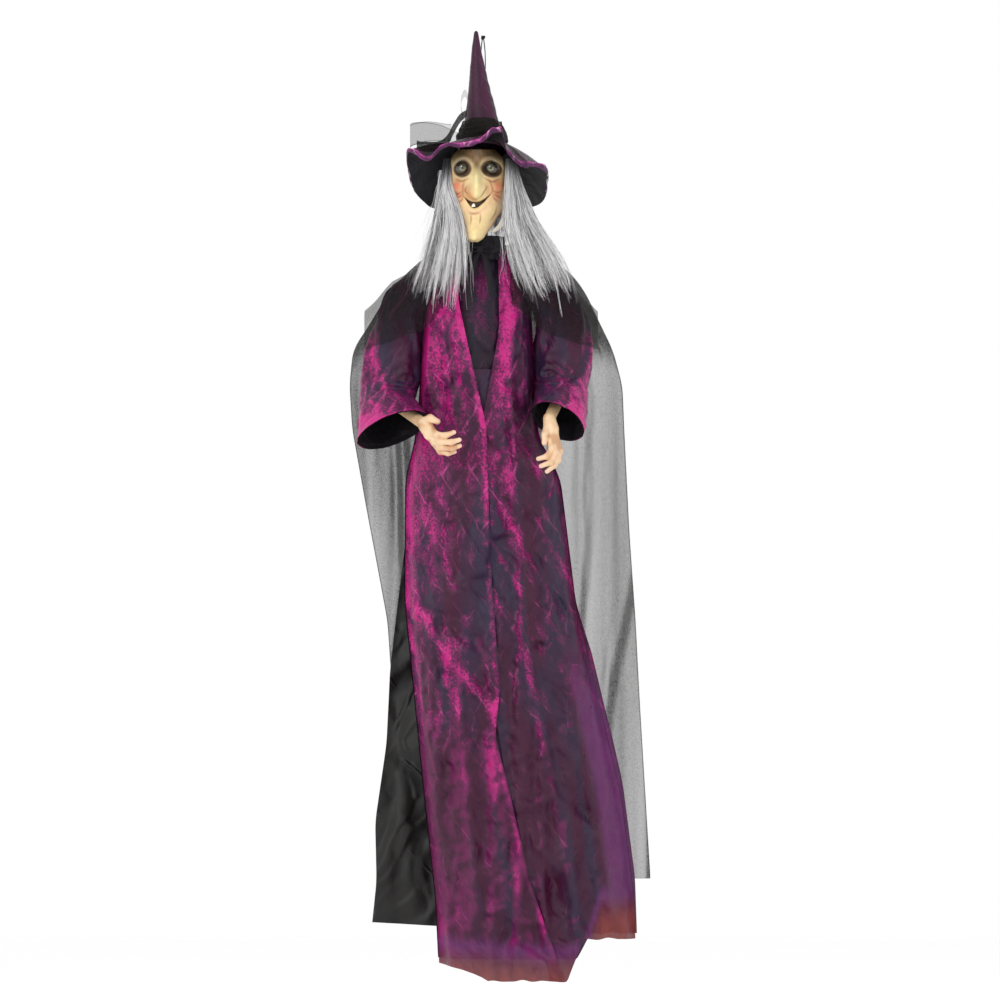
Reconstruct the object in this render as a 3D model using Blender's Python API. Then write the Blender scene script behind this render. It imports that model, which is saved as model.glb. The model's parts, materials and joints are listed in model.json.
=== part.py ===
"""Animated hanging witch figure, 2.10 m from hat tip to hem.

Metres, +Z up. The origin is the hang point: where a nail or hook holds the loop above the hat.
The figure faces -Y. "left" and "right" are the viewer's, so left is -X.
The head turns on a vertical post; a geared motor beside the post drives it. The post carries
the shoulder bar, the arms and the box that holds the batteries, the board and the speaker.
"""

import math

import bmesh
import bpy
import numpy as np
from mathutils import Matrix, Vector

# ---- driving dimensions -------------------------------------------------------------------
GAP = 0.0003            # between pieces that touch
FIT = 0.0003            # radial clearance of a turning fit
CLOTH = 0.0012          # thickness of a garment panel
HAT_TIP_Z = 0.022

# head and hat
HEAD_X = -0.0144        # the head sits a little to the left of the post
EYE_Z = -0.283
EYE_X = (-0.0464, 0.0177)
EYE_Y = -0.070
EYE_R = 0.0150
NOSE = (-0.0221, -0.3316)
CHIN_Z = -0.4465
MASK_TOP_Z = -0.2476
MASK_EDGE_Y = -0.034
MASK_FACE_Y = -0.088
MASK_WALL = 0.0022
SKULL = (HEAD_X, 0.006, -0.335)
SKULL_R = (0.064, 0.080, 0.085)
SKULL_WALL = 0.0025
HAT_WALL = 0.0022
HAT_BASE = Vector((-0.002, -0.006, -0.237))
HAT_TIP = Vector((-0.0155, -0.034, HAT_TIP_Z))
HAT_BASE_R = (0.0510, 0.0565)
BRIM_HOLE_R = (0.0540, 0.0600)

# post, neck drive
POST_R = 0.006
POST_TOP_Z = -0.262
POST_END_Z = -0.587
CORD_R = 0.0012
EYE_RING_R = 0.0085
EYE_WIRE_R = 0.0024
KNOT_R = 0.0055
KNOT_Z = 0.0066
MODULE = 0.0015
NECK_TEETH = 24
PINION_TEETH = 10
GEAR_TOP_Z = -0.4475
GEAR_THICK = 0.008
MOTOR_R = 0.0115
MOTOR_LENGTH = 0.058

# arms
SHOULDER_Z = -0.547
SHOULDER_X = (-0.172, 0.160)
ELBOW = (Vector((-0.217, 0.010, -0.785)), Vector((0.181, 0.010, -0.763)))
WRIST = (Vector((-0.130, -0.122, -0.850)), Vector((0.146, -0.106, -0.838)))
ARM_R = 0.0150
WRIST_R = 0.0125
PIN_R = 0.004

# chest box
BOX_X = 0.046
BOX_Y = (-0.038, 0.018)
BOX_SPLIT_Y = -0.0125
BOX_Z = (-0.702, -0.590)
BOX_WALL = 0.002
BATTERY_R = 0.00725
BATTERY_LENGTH = 0.0505
BATTERY_Y = 0.0045
BATTERY_Z = (-0.6470, -0.6630, -0.6790)
DOOR_HALF = 0.0300
DOOR_Z = (-0.691, -0.637)
SPEAKER_R = 0.020
SPEAKER_Z = -0.665
BUTTON_R = 0.006
BUTTON = (0.0, -0.606)
SWITCH_Z = -0.640

# outline of the robe seen from the front: height, left edge, right edge
ROBE = (
    (-0.490, -0.085, 0.070),
    (-0.575, -0.128, 0.104),
    (-0.735, -0.132, 0.108),
    (-0.800, -0.124, 0.104),
    (-0.880, -0.124, 0.112),
    (-0.930, -0.146, 0.136),
    (-0.973, -0.158, 0.158),
    (-1.040, -0.168, 0.178),
    (-1.240, -0.172, 0.203),
    (-1.459, -0.150, 0.255),
    (-1.680, -0.128, 0.306),
    (-1.900, -0.104, 0.334),
    (-2.078, -0.095, 0.340),
)
COAT_LEFT_INNER = (
    (-0.490, -0.050), (-0.575, -0.055), (-0.862, 0.009), (-1.149, 0.016),
    (-1.437, 0.038), (-1.636, 0.053), (-1.857, 0.104), (-2.078, 0.180),
)
COAT_RIGHT_INNER = (
    (-0.490, 0.034), (-0.641, 0.036), (-0.730, 0.020), (-0.862, -0.005),
    (-1.149, -0.002), (-1.437, 0.020), (-1.857, 0.085), (-2.078, 0.150),
)
HEM = ((-0.100, -2.040), (0.000, -2.068), (0.012, -2.078), (0.186, -2.078),
       (0.228, -2.005), (0.240, -1.985), (0.345, -1.985))
LINING_HEM = ((-0.100, -2.000), (0.060, -2.012), (0.220, -2.012), (0.345, -1.970))
BODICE_INSET = 0.018
SKIRT_INSET = 0.036
UNDERSKIRT_RIGHT = 0.030
UNDERSKIRT_Y = 0.087
UNDERSKIRT_HEM = ((-0.247, -1.952), (0.030, -1.9686))
UNDERSKIRT_LEFT = ((-1.110, -0.172), (-1.271, -0.192), (-1.393, -0.206), (-1.556, -0.214),
                   (-1.729, -0.239), (-1.861, -0.236), (-1.966, -0.247))
CAPE = (
    (-0.450, -0.100, 0.110),
    (-0.508, -0.160, 0.196),
    (-0.553, -0.206, 0.226),
    (-0.685, -0.288, 0.288),
    (-0.763, -0.296, 0.309),
    (-0.862, -0.290, 0.313),
    (-1.083, -0.250, 0.324),
    (-1.282, -0.212, 0.338),
    (-1.459, -0.200, 0.347),
    (-1.857, -0.180, 0.371),
)
FRONT_CURVE = ((-0.900, 0.90), (-0.620, 0.58))
BACK_CURVE = ((-0.900, 0.90), (-0.620, 0.72))
FRONT_DEPTH = ((-2.078, 0.100), (-1.200, 0.092), (-0.640, 0.082), (-0.560, 0.072), (-0.490, 0.050))
BACK_DEPTH = ((-2.078, 0.084), (-0.640, 0.082), (-0.560, 0.074), (-0.490, 0.056))


# ---- materials and objects ------------------------------------------------------------------
def clear_scene():
    for old in list(bpy.data.objects):
        bpy.data.objects.remove(old, do_unlink=True)


def material(name, colour, roughness, metallic=0.0):
    found = bpy.data.materials.get(name)
    if found:
        return found
    made = bpy.data.materials.new(name)
    made.use_nodes = True
    shader = made.node_tree.nodes["Principled BSDF"]
    shader.inputs["Base Color"].default_value = (*colour, 1.0)
    shader.inputs["Roughness"].default_value = roughness
    shader.inputs["Metallic"].default_value = metallic
    return made


def slots():
    return {
        "magenta_organza": material("magenta_organza", (0.45, 0.02, 0.25), 0.35),
        "plum_satin": material("plum_satin", (0.08, 0.02, 0.09), 0.40),
        "black_tulle": material("black_tulle", (0.02, 0.02, 0.02), 0.80),
        "black_taffeta": material("black_taffeta", (0.03, 0.03, 0.03), 0.60),
        "hair": material("hair", (0.75, 0.75, 0.76), 0.50),
        "mask_skin": material("mask_skin", (0.80, 0.62, 0.36), 0.45),
        "hand_skin": material("hand_skin", (0.80, 0.62, 0.42), 0.45),
        "eye": material("eye", (0.15, 0.16, 0.14), 0.15),
        "black_plastic": material("black_plastic", (0.03, 0.03, 0.03), 0.40),
        "grey_plastic": material("grey_plastic", (0.25, 0.25, 0.26), 0.45),
        "white_plastic": material("white_plastic", (0.75, 0.74, 0.70), 0.45),
        "steel": material("steel", (0.55, 0.55, 0.56), 0.30, 1.0),
        "battery": material("battery", (0.10, 0.10, 0.12), 0.30, 0.3),
        "board": material("board", (0.03, 0.20, 0.08), 0.50),
        "red_plastic": material("red_plastic", (0.50, 0.03, 0.03), 0.35),
        "cord": material("cord", (0.02, 0.02, 0.02), 0.80),
    }


def mesh_object(name, points, faces, smooth=False):
    mesh = bpy.data.meshes.new(name)
    mesh.from_pydata([tuple(p) for p in points], [], faces)
    model = bmesh.new()
    model.from_mesh(mesh)
    bmesh.ops.recalc_face_normals(model, faces=model.faces)
    if model.calc_volume(signed=True) < 0:
        bmesh.ops.reverse_faces(model, faces=model.faces)
    model.to_mesh(mesh)
    model.free()
    if smooth:
        mesh.shade_smooth()
        mesh.set_sharp_from_angle(angle=math.radians(50))
    made = bpy.data.objects.new(name, mesh)
    bpy.context.scene.collection.objects.link(made)
    return made


def node(name, shape, slot, add=(), cut=(), smooth=True):
    """One sub-part: a base shape, shapes joined to it and shapes cut from it."""
    made = mesh_object(name, *shape, smooth=smooth)
    made.data.materials.append(slots()[slot])
    for kind, shapes in (("UNION", add), ("DIFFERENCE", cut)):
        for number, helper_shape in enumerate(shapes):
            helper = mesh_object(f"{name}_{kind.lower()}_{number}", *helper_shape)
            helper.hide_render = True
            helper.display_type = "WIRE"
            change = made.modifiers.new(f"{kind.title()} {number}", "BOOLEAN")
            change.operation = kind
            change.solver = "EXACT"
            change.object = helper
    return made


def joint_empty(name, position, axis):
    """An empty on a joint's axis, its Z along the axis."""
    made = bpy.data.objects.new(name, None)
    turn = Vector((0, 0, 1)).rotation_difference(Vector(axis)).to_matrix().to_4x4()
    made.matrix_world = Matrix.Translation(Vector(position)) @ turn
    made.empty_display_size = 0.03
    bpy.context.scene.collection.objects.link(made)
    return made


def hang_on(empty, *pieces):
    """The pieces stay where they are and follow the empty."""
    frame = Matrix.LocRotScale(empty.location, empty.rotation_euler, empty.scale)
    for piece in pieces:
        piece.parent = empty
        piece.matrix_parent_inverse = frame.inverted()


# ---- shapes: each returns (points, faces) ---------------------------------------------------
def block(low, high):
    (x0, y0, z0), (x1, y1, z1) = low, high
    points = [(x, y, z) for x in (x0, x1) for y in (y0, y1) for z in (z0, z1)]
    faces = [(0, 1, 3, 2), (4, 6, 7, 5), (0, 4, 5, 1), (2, 3, 7, 6), (0, 2, 6, 4), (1, 5, 7, 3)]
    return points, faces


def loft(rings):
    """A closed body through rings of equal count, with flat ends."""
    count = len(rings[0])
    points = [p for ring in rings for p in ring]
    faces = []
    for i in range(len(rings) - 1):
        for j in range(count):
            k = (j + 1) % count
            faces.append((i * count + j, i * count + k, (i + 1) * count + k, (i + 1) * count + j))
    faces.append(tuple(range(count)))
    faces.append(tuple((len(rings) - 1) * count + j for j in range(count)))
    return points, faces


def ellipse(centre, half_a, half_b, sides):
    centre, half_a, half_b = Vector(centre), Vector(half_a), Vector(half_b)
    turns = [2 * math.pi * j / sides for j in range(sides)]
    return [centre + half_a * math.cos(t) + half_b * math.sin(t) for t in turns]


def across(direction):
    """Two unit vectors square to a direction."""
    direction = Vector(direction).normalized()
    helper = Vector((0, 0, 1)) if abs(direction.z) < 0.9 else Vector((1, 0, 0))
    first = direction.cross(helper).normalized()
    return first, direction.cross(first)


def cylinder(start, end, radius, sides=14, end_radius=None):
    start, end = Vector(start), Vector(end)
    first, second = across(end - start)
    last = radius if end_radius is None else end_radius
    return loft([ellipse(start, first * radius, second * radius, sides),
                 ellipse(end, first * last, second * last, sides)])


def sweep(path, radii, sides=8, flat=None):
    """A tube of changing radius along a path. flat = (direction, ratio) thins it that way."""
    path = [Vector(p) for p in path]
    rings = []
    first = None
    for i, centre in enumerate(path):
        ahead = path[min(i + 1, len(path) - 1)] - path[max(i - 1, 0)]
        ahead.normalize()
        if first is None:
            first, second = across(ahead)
        first = (first - ahead * first.dot(ahead)).normalized()
        second = ahead.cross(first)
        ring = ellipse(centre, first * radii[i], second * radii[i], sides)
        if flat:
            thin = Vector(flat[0]).normalized()
            ring = [p - thin * (p - centre).dot(thin) * (1 - flat[1]) for p in ring]
        rings.append(ring)
    return loft(rings)


def sheet(grid, thickness, wrap=False):
    """A closed skin of one thickness on a grid of points; wrap closes its second direction."""
    grid = np.array([[tuple(p) for p in row] for row in grid])
    rows, columns = grid.shape[:2]
    along = np.gradient(grid, axis=0)
    if wrap:
        over = np.roll(grid, -1, axis=1) - np.roll(grid, 1, axis=1)
    else:
        over = np.gradient(grid, axis=1)
    normal = np.cross(along, over)
    normal /= np.linalg.norm(normal, axis=2, keepdims=True)
    points = np.concatenate([(grid + normal * thickness / 2).reshape(-1, 3),
                             (grid - normal * thickness / 2).reshape(-1, 3)])
    back = rows * columns
    faces = []
    for i in range(rows - 1):
        for j in range(columns if wrap else columns - 1):
            a, b = i * columns + j, i * columns + (j + 1) % columns
            c, d = b + columns, a + columns
            faces += [(a, b, c, d), (back + d, back + c, back + b, back + a)]
    for j in range(columns if wrap else columns - 1):
        k = (j + 1) % columns
        last = (rows - 1) * columns
        faces += [(j, back + j, back + k, k), (last + k, back + last + k, back + last + j, last + j)]
    if not wrap:
        for i in range(rows - 1):
            a, b = i * columns, (i + 1) * columns
            c, d = a + columns - 1, b + columns - 1
            faces += [(b, back + b, back + a, a), (c, back + c, back + d, d)]
    return points.tolist(), faces


def shell(outer, inner):
    """A cup: outer rings from the mouth inwards, inner rings likewise, joined at the mouth."""
    count = len(outer[0])
    points = [p for ring in outer for p in ring] + [p for ring in inner for p in ring]
    start = len(outer) * count
    faces = []
    for base, rings in ((0, outer), (start, inner)):
        for i in range(len(rings) - 1):
            for j in range(count):
                k = (j + 1) % count
                a, b = base + i * count + j, base + i * count + k
                faces.append((a, b, b + count, a + count))
    for j in range(count):
        k = (j + 1) % count
        faces.append((j, k, start + k, start + j))
    faces.append(tuple((len(outer) - 1) * count + j for j in range(count)))
    faces.append(tuple(start + (len(inner) - 1) * count + j for j in range(count)))
    return points, faces


def gear(teeth, thickness, top_z, centre, bore, tooth_at):
    """A spur gear on a vertical axis with a round bore. tooth_at is the angle of one tooth."""
    pitch = MODULE * teeth / 2
    root, tip = pitch - 1.25 * MODULE, pitch + 0.85 * MODULE
    step = 2 * math.pi / teeth
    outline = []
    for i in range(teeth):
        middle = tooth_at + i * step
        for radius, share in ((root, -0.29), (tip, -0.105), (tip, 0.105), (root, 0.29)):
            turn = middle + share * step
            outline.append((centre[0] + radius * math.cos(turn), centre[1] + radius * math.sin(turn)))
    inner = [(centre[0] + bore * math.cos(2 * math.pi * j / len(outline) + tooth_at - 0.29 * step),
              centre[1] + bore * math.sin(2 * math.pi * j / len(outline) + tooth_at - 0.29 * step))
             for j in range(len(outline))]
    count = len(outline)
    points = []
    for z in (top_z, top_z - thickness):
        points += [(x, y, z) for x, y in outline]
        points += [(x, y, z) for x, y in inner]
    faces = []
    for j in range(count):
        k = (j + 1) % count
        faces += [(j, k, count + k, count + j),
                  (2 * count + k, 2 * count + j, 3 * count + j, 3 * count + k),
                  (k, j, 2 * count + j, 2 * count + k),
                  (count + j, count + k, 3 * count + k, 3 * count + j)]
    return points, faces


def at(table, z, column=1):
    """Reads a table of (height, value, ...) between its rows."""
    rows = sorted(table)
    return float(np.interp(z, [r[0] for r in rows], [r[column] for r in rows]))


# ---- hanging loop, post and neck drive ------------------------------------------------------
def hang_cord():
    """The loop: down one side, round the eye's wire, up the other side to the knot."""
    eye_z = POST_TOP_Z + 0.004 + EYE_RING_R
    turn_z = eye_z + EYE_RING_R
    turn_r = EYE_WIRE_R + CORD_R + 0.0012
    side = [(0.0017, KNOT_Z - KNOT_R - GAP), (0.0030, -0.010), (0.0046, -0.026), (0.0052, -0.045),
            (turn_r, -0.090), (turn_r, -0.150), (turn_r, -0.205), (turn_r, turn_z)]
    route = [(-x, z) for x, z in side]
    for i in range(1, 6):
        turn = math.pi + math.pi * i / 6
        route.append((turn_r * math.cos(turn), turn_z + turn_r * math.sin(turn)))
    route += [(x, z) for x, z in reversed(side)]
    curve = bpy.data.curves.new("hang_cord", "CURVE")
    curve.dimensions = "3D"
    curve.bevel_depth = CORD_R
    curve.bevel_resolution = 2
    curve.use_fill_caps = True
    spline = curve.splines.new("POLY")
    spline.points.add(len(route) - 1)
    for point, (x, z) in zip(spline.points, route):
        point.co = (x, 0.0, z, 1.0)
    curve.materials.append(slots()["cord"])
    made = bpy.data.objects.new("hang_cord", curve)
    bpy.context.scene.collection.objects.link(made)


def ball(centre, radii, sides=12, rings=7):
    """An ellipsoid with small flat ends."""
    made = []
    for i in range(rings + 1):
        turn = math.pi * (0.06 + 0.88 * i / rings)
        wide = math.sin(turn)
        middle = Vector(centre) + Vector((0, 0, radii[2] * math.cos(turn)))
        made.append(ellipse(middle, (radii[0] * wide, 0, 0), (0, radii[1] * wide, 0), sides))
    return loft(made)


def ring_shape(centre, major, minor, sides=14, around=6):
    """A closed ring whose hole runs along X."""
    grid = []
    for i in range(sides):
        turn = 2 * math.pi * i / sides
        out = Vector((0, math.cos(turn), math.sin(turn)))
        grid.append(ellipse(Vector(centre) + out * major, out * minor, (minor, 0, 0), around))
    points = [p for ring in grid for p in ring]
    faces = []
    for i in range(sides):
        for j in range(around):
            k, n = (j + 1) % around, (i + 1) % sides
            faces.append((i * around + j, i * around + k, n * around + k, n * around + j))
    return points, faces


def post_pieces():
    eye_z = POST_TOP_Z + 0.004 + EYE_RING_R
    node("loop_knot", ball((0, 0, KNOT_Z), (KNOT_R, KNOT_R, KNOT_R)), "cord")
    node("hanger_eye", ring_shape((0, 0, eye_z), EYE_RING_R, EYE_WIRE_R), "steel",
         add=[cylinder((0, 0, POST_TOP_Z + GAP), (0, 0, eye_z - EYE_RING_R + 0.001), 0.0052)])
    node("spine_post", cylinder((0, 0, POST_END_Z), (0, 0, POST_TOP_Z), POST_R), "steel")


def tube(low_z, high_z, outer, inner, centre=(0.0, 0.0), sides=18):
    """A vertical tube open at both ends."""
    rows = []
    for radius, z in ((outer, low_z), (outer, high_z), (inner, high_z), (inner, low_z)):
        rows.append(ellipse((*centre, z), (radius, 0, 0), (0, radius, 0), sides))
    points = [p for row in rows for p in row]
    faces = []
    for i in range(4):
        for j in range(sides):
            k, n = (j + 1) % sides, (i + 1) % 4
            faces.append((i * sides + j, i * sides + k, n * sides + k, n * sides + j))
    return points, faces


def neck_drive():
    """Bracket, motor, pinion and ring gear round the post. Returns the pinion and the gear."""
    distance = MODULE * (NECK_TEETH + PINION_TEETH) / 2
    gear_bottom = GEAR_TOP_Z - GEAR_THICK
    bush_bottom = gear_bottom - GAP - 0.0055
    bracket_top = bush_bottom - GAP
    bracket_bottom = bracket_top - 0.003
    motor_top = bracket_bottom - GAP
    node("neck_bush", tube(bush_bottom, gear_bottom - GAP, 0.0115, POST_R + FIT), "white_plastic")
    node("motor_bracket",
         block((-0.014, -0.013, bracket_bottom), (0.014, distance + 0.012, bracket_top)), "steel",
         cut=[cylinder((0, 0, bracket_bottom - 0.01), (0, 0, bracket_top + 0.01), POST_R + FIT),
              cylinder((0, distance, bracket_bottom - 0.01), (0, distance, bracket_top + 0.01), 0.004)],
         smooth=False)
    node("gear_motor",
         cylinder((0, distance, motor_top - MOTOR_LENGTH), (0, distance, motor_top), MOTOR_R),
         "steel",
         cut=[cylinder((0, distance, motor_top - 0.012), (0, distance, motor_top + 0.01), 0.0022)])
    pinion = node("drive_pinion",
                  gear(PINION_TEETH, GEAR_THICK, GEAR_TOP_Z, (0, distance), 0.0012,
                       -math.pi / 2 + math.pi / PINION_TEETH),
                  "white_plastic",
                  add=[cylinder((0, distance, motor_top - 0.011), (0, distance, GEAR_TOP_Z - 0.001),
                                0.0018)])
    wheel = node("neck_gear",
                 gear(NECK_TEETH, GEAR_THICK, GEAR_TOP_Z, (0, 0), POST_R + FIT, math.pi / 2),
                 "white_plastic")
    return pinion, wheel


def neck_tube():
    """The tube that carries the head on the post, with the oval plate inside the skull."""
    plate_z = -0.345
    share = math.sqrt(1 - ((plate_z - SKULL[2]) / SKULL_R[2]) ** 2)
    half = [r * share - SKULL_WALL - 0.005 for r in SKULL_R[:2]]
    return node("neck_tube", cylinder((0, 0, GEAR_TOP_Z + GAP), (0, 0, -0.300), 0.0105), "grey_plastic",
                add=[loft([ellipse((SKULL[0], SKULL[1] + 0.012, z), (half[0], 0, 0),
                                   (0, half[1] - 0.019, 0), 20)
                           for z in (plate_z, plate_z + 0.003)])],
                cut=[cylinder((0, 0, GEAR_TOP_Z - 0.01), (0, 0, -0.29), POST_R + FIT)])


# ---- head -----------------------------------------------------------------------------------
def mask_half_width(z):
    return at(((MASK_TOP_Z, 0.040), (-0.262, 0.058), (EYE_Z, 0.0650), (-0.330, 0.0652),
               (-0.371, 0.0597), (-0.387, 0.0470), (-0.420, 0.0300), (CHIN_Z, 0.0120)), z)


def bump(x, z, centre, spread, height):
    return height * math.exp(-((x - centre[0]) / spread[0]) ** 2 - ((z - centre[1]) / spread[1]) ** 2)


def mask_y(x, z):
    """Depth of the mask's front: a domed face with nose, cheeks, brow and a long chin."""
    off = (x - HEAD_X) / mask_half_width(z)
    rise = at(((CHIN_Z, 0.80), (-0.400, 0.85), (-0.300, 1.0), (MASK_TOP_Z, 0.86)), z)
    edge = at(((CHIN_Z, MASK_EDGE_Y - 0.030), (-0.360, MASK_EDGE_Y)), z)
    y = edge + (MASK_FACE_Y - edge) * rise * (1 - abs(off) ** 2.6)
    y -= bump(x, z, (NOSE[0] + 0.003, NOSE[1] + 0.018), (0.009, 0.024), 0.016)
    y -= bump(x, z, NOSE, (0.015, 0.013), 0.024)
    y -= bump(x, z, (HEAD_X, -0.428), (0.020, 0.016), 0.022)
    y -= bump(x, z, (-0.055, -0.335), (0.018, 0.018), 0.008)
    y -= bump(x, z, (0.027, -0.335), (0.018, 0.018), 0.008)
    y += bump(x, z, (HEAD_X, -0.371), (0.022, 0.008), 0.006)
    return y


def face_mask():
    rows, columns = 15, 12
    grid = []
    for i in range(rows):
        z = MASK_TOP_Z + (CHIN_Z - MASK_TOP_Z) * i / (rows - 1)
        half = mask_half_width(z)
        row = []
        for j in range(columns):
            x = HEAD_X + half * math.sin(math.pi / 2 * (2 * j / (columns - 1) - 1))
            row.append((x, mask_y(x, z), z))
        grid.append(row)
    holes = [cylinder((x, -0.16, EYE_Z), (x, -0.045, EYE_Z), EYE_R + 0.0012) for x in EYE_X]
    return node("face_mask", sheet(grid, MASK_WALL), "mask_skin", cut=holes)


def skull_ring(z, shrink, sides=20):
    reach = [r - shrink for r in SKULL_R]
    share = math.sqrt(max(1 - ((z - SKULL[2]) / reach[2]) ** 2, 0.0))
    return ellipse((SKULL[0], SKULL[1], z), (reach[0] * share, 0, 0), (0, reach[1] * share, 0), sides)


def head_shell():
    """The back shell of the head, open below, cut away in front for the mask and on top."""
    top, bottom = SKULL[2] + SKULL_R[2], -0.400
    outer_z = [bottom + (top - 0.002 - bottom) * math.sin(math.pi / 2 * i / 5) for i in range(6)]
    inner_top = top - SKULL_WALL
    inner_z = [bottom + (inner_top - 0.002 - bottom) * math.sin(math.pi / 2 * i / 5) for i in range(6)]
    return node("head_shell",
                shell([skull_ring(z, 0.0) for z in outer_z],
                      [skull_ring(z, SKULL_WALL) for z in inner_z]),
                "grey_plastic",
                cut=[block((-0.12, -0.20, -0.50), (0.12, MASK_EDGE_Y + 0.008, -0.20)),
                     cylinder((0, 0, -0.275), (0, 0, -0.20), 0.0105)])


def eyes():
    made = []
    for side, x in zip(("left", "right"), EYE_X):
        made.append(node(f"eye_{side}", ball((x, EYE_Y, EYE_Z), (EYE_R, EYE_R, EYE_R)), "eye"))
    bar_y = EYE_Y + EYE_R + 0.006
    lamps = [cylinder((x, bar_y - 0.0052, EYE_Z), (x, bar_y + 0.0004, EYE_Z), 0.0025, 10) for x in EYE_X]
    bar = block((EYE_X[0] - 0.006, bar_y, EYE_Z - 0.005),
                (EYE_X[1] + 0.006, bar_y + 0.0016, EYE_Z + 0.005))
    made.append(node("eye_led_bar", bar,
                     "board", add=lamps, smooth=False))
    return made


def hat_ring(share, shrink, sides=20):
    """A ring of the cone: share 0 is the tilted base, 1 the tip."""
    centre = HAT_BASE.lerp(HAT_TIP, share)
    centre.y += -0.010 * math.sin(math.pi * share)
    tilt = 0.33 * (1 - share)
    narrow = at(((0.0, 1.0), (0.07, 0.90), (0.25, 0.66), (0.50, 0.42), (0.75, 0.23), (1.0, 0.045)), share)
    a, b = HAT_BASE_R[0] * narrow - shrink, HAT_BASE_R[1] * narrow - shrink
    return ellipse(centre, (max(a, 0.0006), 0, 0), (0, max(b, 0.0006), -tilt * b), sides)


def hat_cone():
    outer = [hat_ring(s, 0.0) for s in (0.0, 0.07, 0.25, 0.5, 0.75, 1.0)]
    inner = [hat_ring(s, HAT_WALL) for s in (0.0, 0.07, 0.25, 0.5, 0.75, 0.90)]
    return node("hat_cone", shell(outer, inner), "magenta_organza",
                cut=[cylinder((0, 0, -0.170), (0, 0, 0.05), 0.0085)])


def brim_edge():
    """The floppy rim, from the left round the front: raised in front, hanging at the back."""
    return [Vector(p) for p in (
        (-0.163, -0.020, -0.285), (-0.162, -0.080, -0.246), (-0.122, -0.112, -0.262),
        (-0.064, -0.140, -0.238), (-0.007, -0.152, -0.233), (0.030, -0.150, -0.207),
        (0.044, -0.148, -0.205), (0.053, -0.142, -0.246), (0.076, -0.130, -0.268),
        (0.108, -0.105, -0.276), (0.138, -0.065, -0.286), (0.141, -0.010, -0.310),
        (0.133, 0.055, -0.350), (0.105, 0.105, -0.366), (0.060, 0.136, -0.362),
        (0.000, 0.148, -0.356), (-0.060, 0.138, -0.362), (-0.108, 0.106, -0.366),
        (-0.148, 0.050, -0.335),
    )]


def hat_brim():
    edge = brim_edge()
    grid = []
    for share in (0.0, 0.30, 0.62, 1.0):
        row = []
        for outer in edge:
            turn = math.atan2(outer.y, outer.x)
            inner = HAT_BASE + Vector((BRIM_HOLE_R[0] * math.cos(turn), BRIM_HOLE_R[1] * math.sin(turn),
                                       -0.33 * BRIM_HOLE_R[1] * math.sin(turn)))
            point = inner.lerp(outer, share)
            point.z += 0.006 * math.sin(math.pi * share)
            row.append(point)
        grid.append(row)
    return node("hat_brim", sheet(grid, CLOTH, wrap=True), "magenta_organza")


def hat_tulle_band():
    """Gathered net round the foot of the cone with a wide loop standing out to the left."""
    rows = []
    for share, out in ((0.045, 0.004), (0.10, 0.006), (0.16, 0.004), (0.21, 0.003)):
        rows.append(hat_ring(share, -out))
    loop_rows = []
    for z in (-0.222, -0.208, -0.190):
        loop_rows.append([(x, -0.015 + 0.10 * x, z + 0.15 * (x + 0.10))
                          for x in (-0.150, -0.118, -0.084, -0.050)])
    loop = sheet(loop_rows, 0.006)
    return node("hat_tulle_band", sheet(rows, CLOTH, wrap=True), "black_tulle", add=[loop])


def hair():
    """Two long falls beside the face and a short curtain behind."""
    left = sweep([(-0.094, -0.016, -0.290), (-0.112, -0.040, -0.345), (-0.118, -0.072, -0.420),
                  (-0.118, -0.096, -0.500), (-0.108, -0.106, -0.570), (-0.096, -0.106, -0.628)],
                 (0.015, 0.026, 0.036, 0.042, 0.034, 0.006), 10, ((0, 1, 0.15), 0.32))
    right = sweep([(0.068, -0.016, -0.290), (0.084, -0.040, -0.345), (0.102, -0.072, -0.420),
                   (0.128, -0.096, -0.500), (0.156, -0.106, -0.560), (0.196, -0.106, -0.610)],
                  (0.014, 0.026, 0.034, 0.040, 0.030, 0.006), 10, ((0, 1, 0.15), 0.32))
    rows = []
    for z in (-0.310, -0.360, -0.420, -0.470):
        out = 0.089 + 0.10 * (-0.310 - z)
        rows.append([(HEAD_X + 0.078 * math.sin(t), SKULL[1] + out * math.cos(t), z)
                     for t in (-0.62, -0.31, 0.0, 0.31, 0.62)])
    return [node("hair_left", left, "hair"), node("hair_right", right, "hair"),
            node("hair_back", sheet(rows, 0.006), "hair")]


# ---- arms -----------------------------------------------------------------------------------
def elbow_axis(side):
    shoulder = Vector((SHOULDER_X[side], 0, SHOULDER_Z))
    upper, fore = ELBOW[side] - shoulder, WRIST[side] - ELBOW[side]
    return upper.cross(fore).normalized()


def shoulder_parts():
    ends = [x + 0.020 * (1 if x < 0 else -1) for x in SHOULDER_X]
    bar = cylinder((ends[0], 0, SHOULDER_Z), (ends[1], 0, SHOULDER_Z), 0.0085)
    collar = cylinder((0, 0, SHOULDER_Z - 0.013), (0, 0, SHOULDER_Z + 0.013), 0.0125)
    cuts = [cylinder((0, 0, SHOULDER_Z - 0.03), (0, 0, SHOULDER_Z + 0.03), POST_R + FIT)]
    for end, way in zip(ends, (1, -1)):
        cuts.append(cylinder((end - 0.01 * way, 0, SHOULDER_Z), (end + 0.013 * way, 0, SHOULDER_Z),
                             PIN_R + FIT))
    node("shoulder_bar", bar, "steel", add=[collar], cut=cuts)
    for name, x, end, way in zip(("left", "right"), SHOULDER_X, ends, (1, -1)):
        out = x - 0.0145 * way
        node(f"shoulder_pin_{name}",
             cylinder((out, 0, SHOULDER_Z), (end + 0.012 * way, 0, SHOULDER_Z), PIN_R), "steel",
             add=[cylinder((out - 0.003 * way, 0, SHOULDER_Z), (out + 0.0002 * way, 0, SHOULDER_Z),
                           0.0075)])


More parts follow.
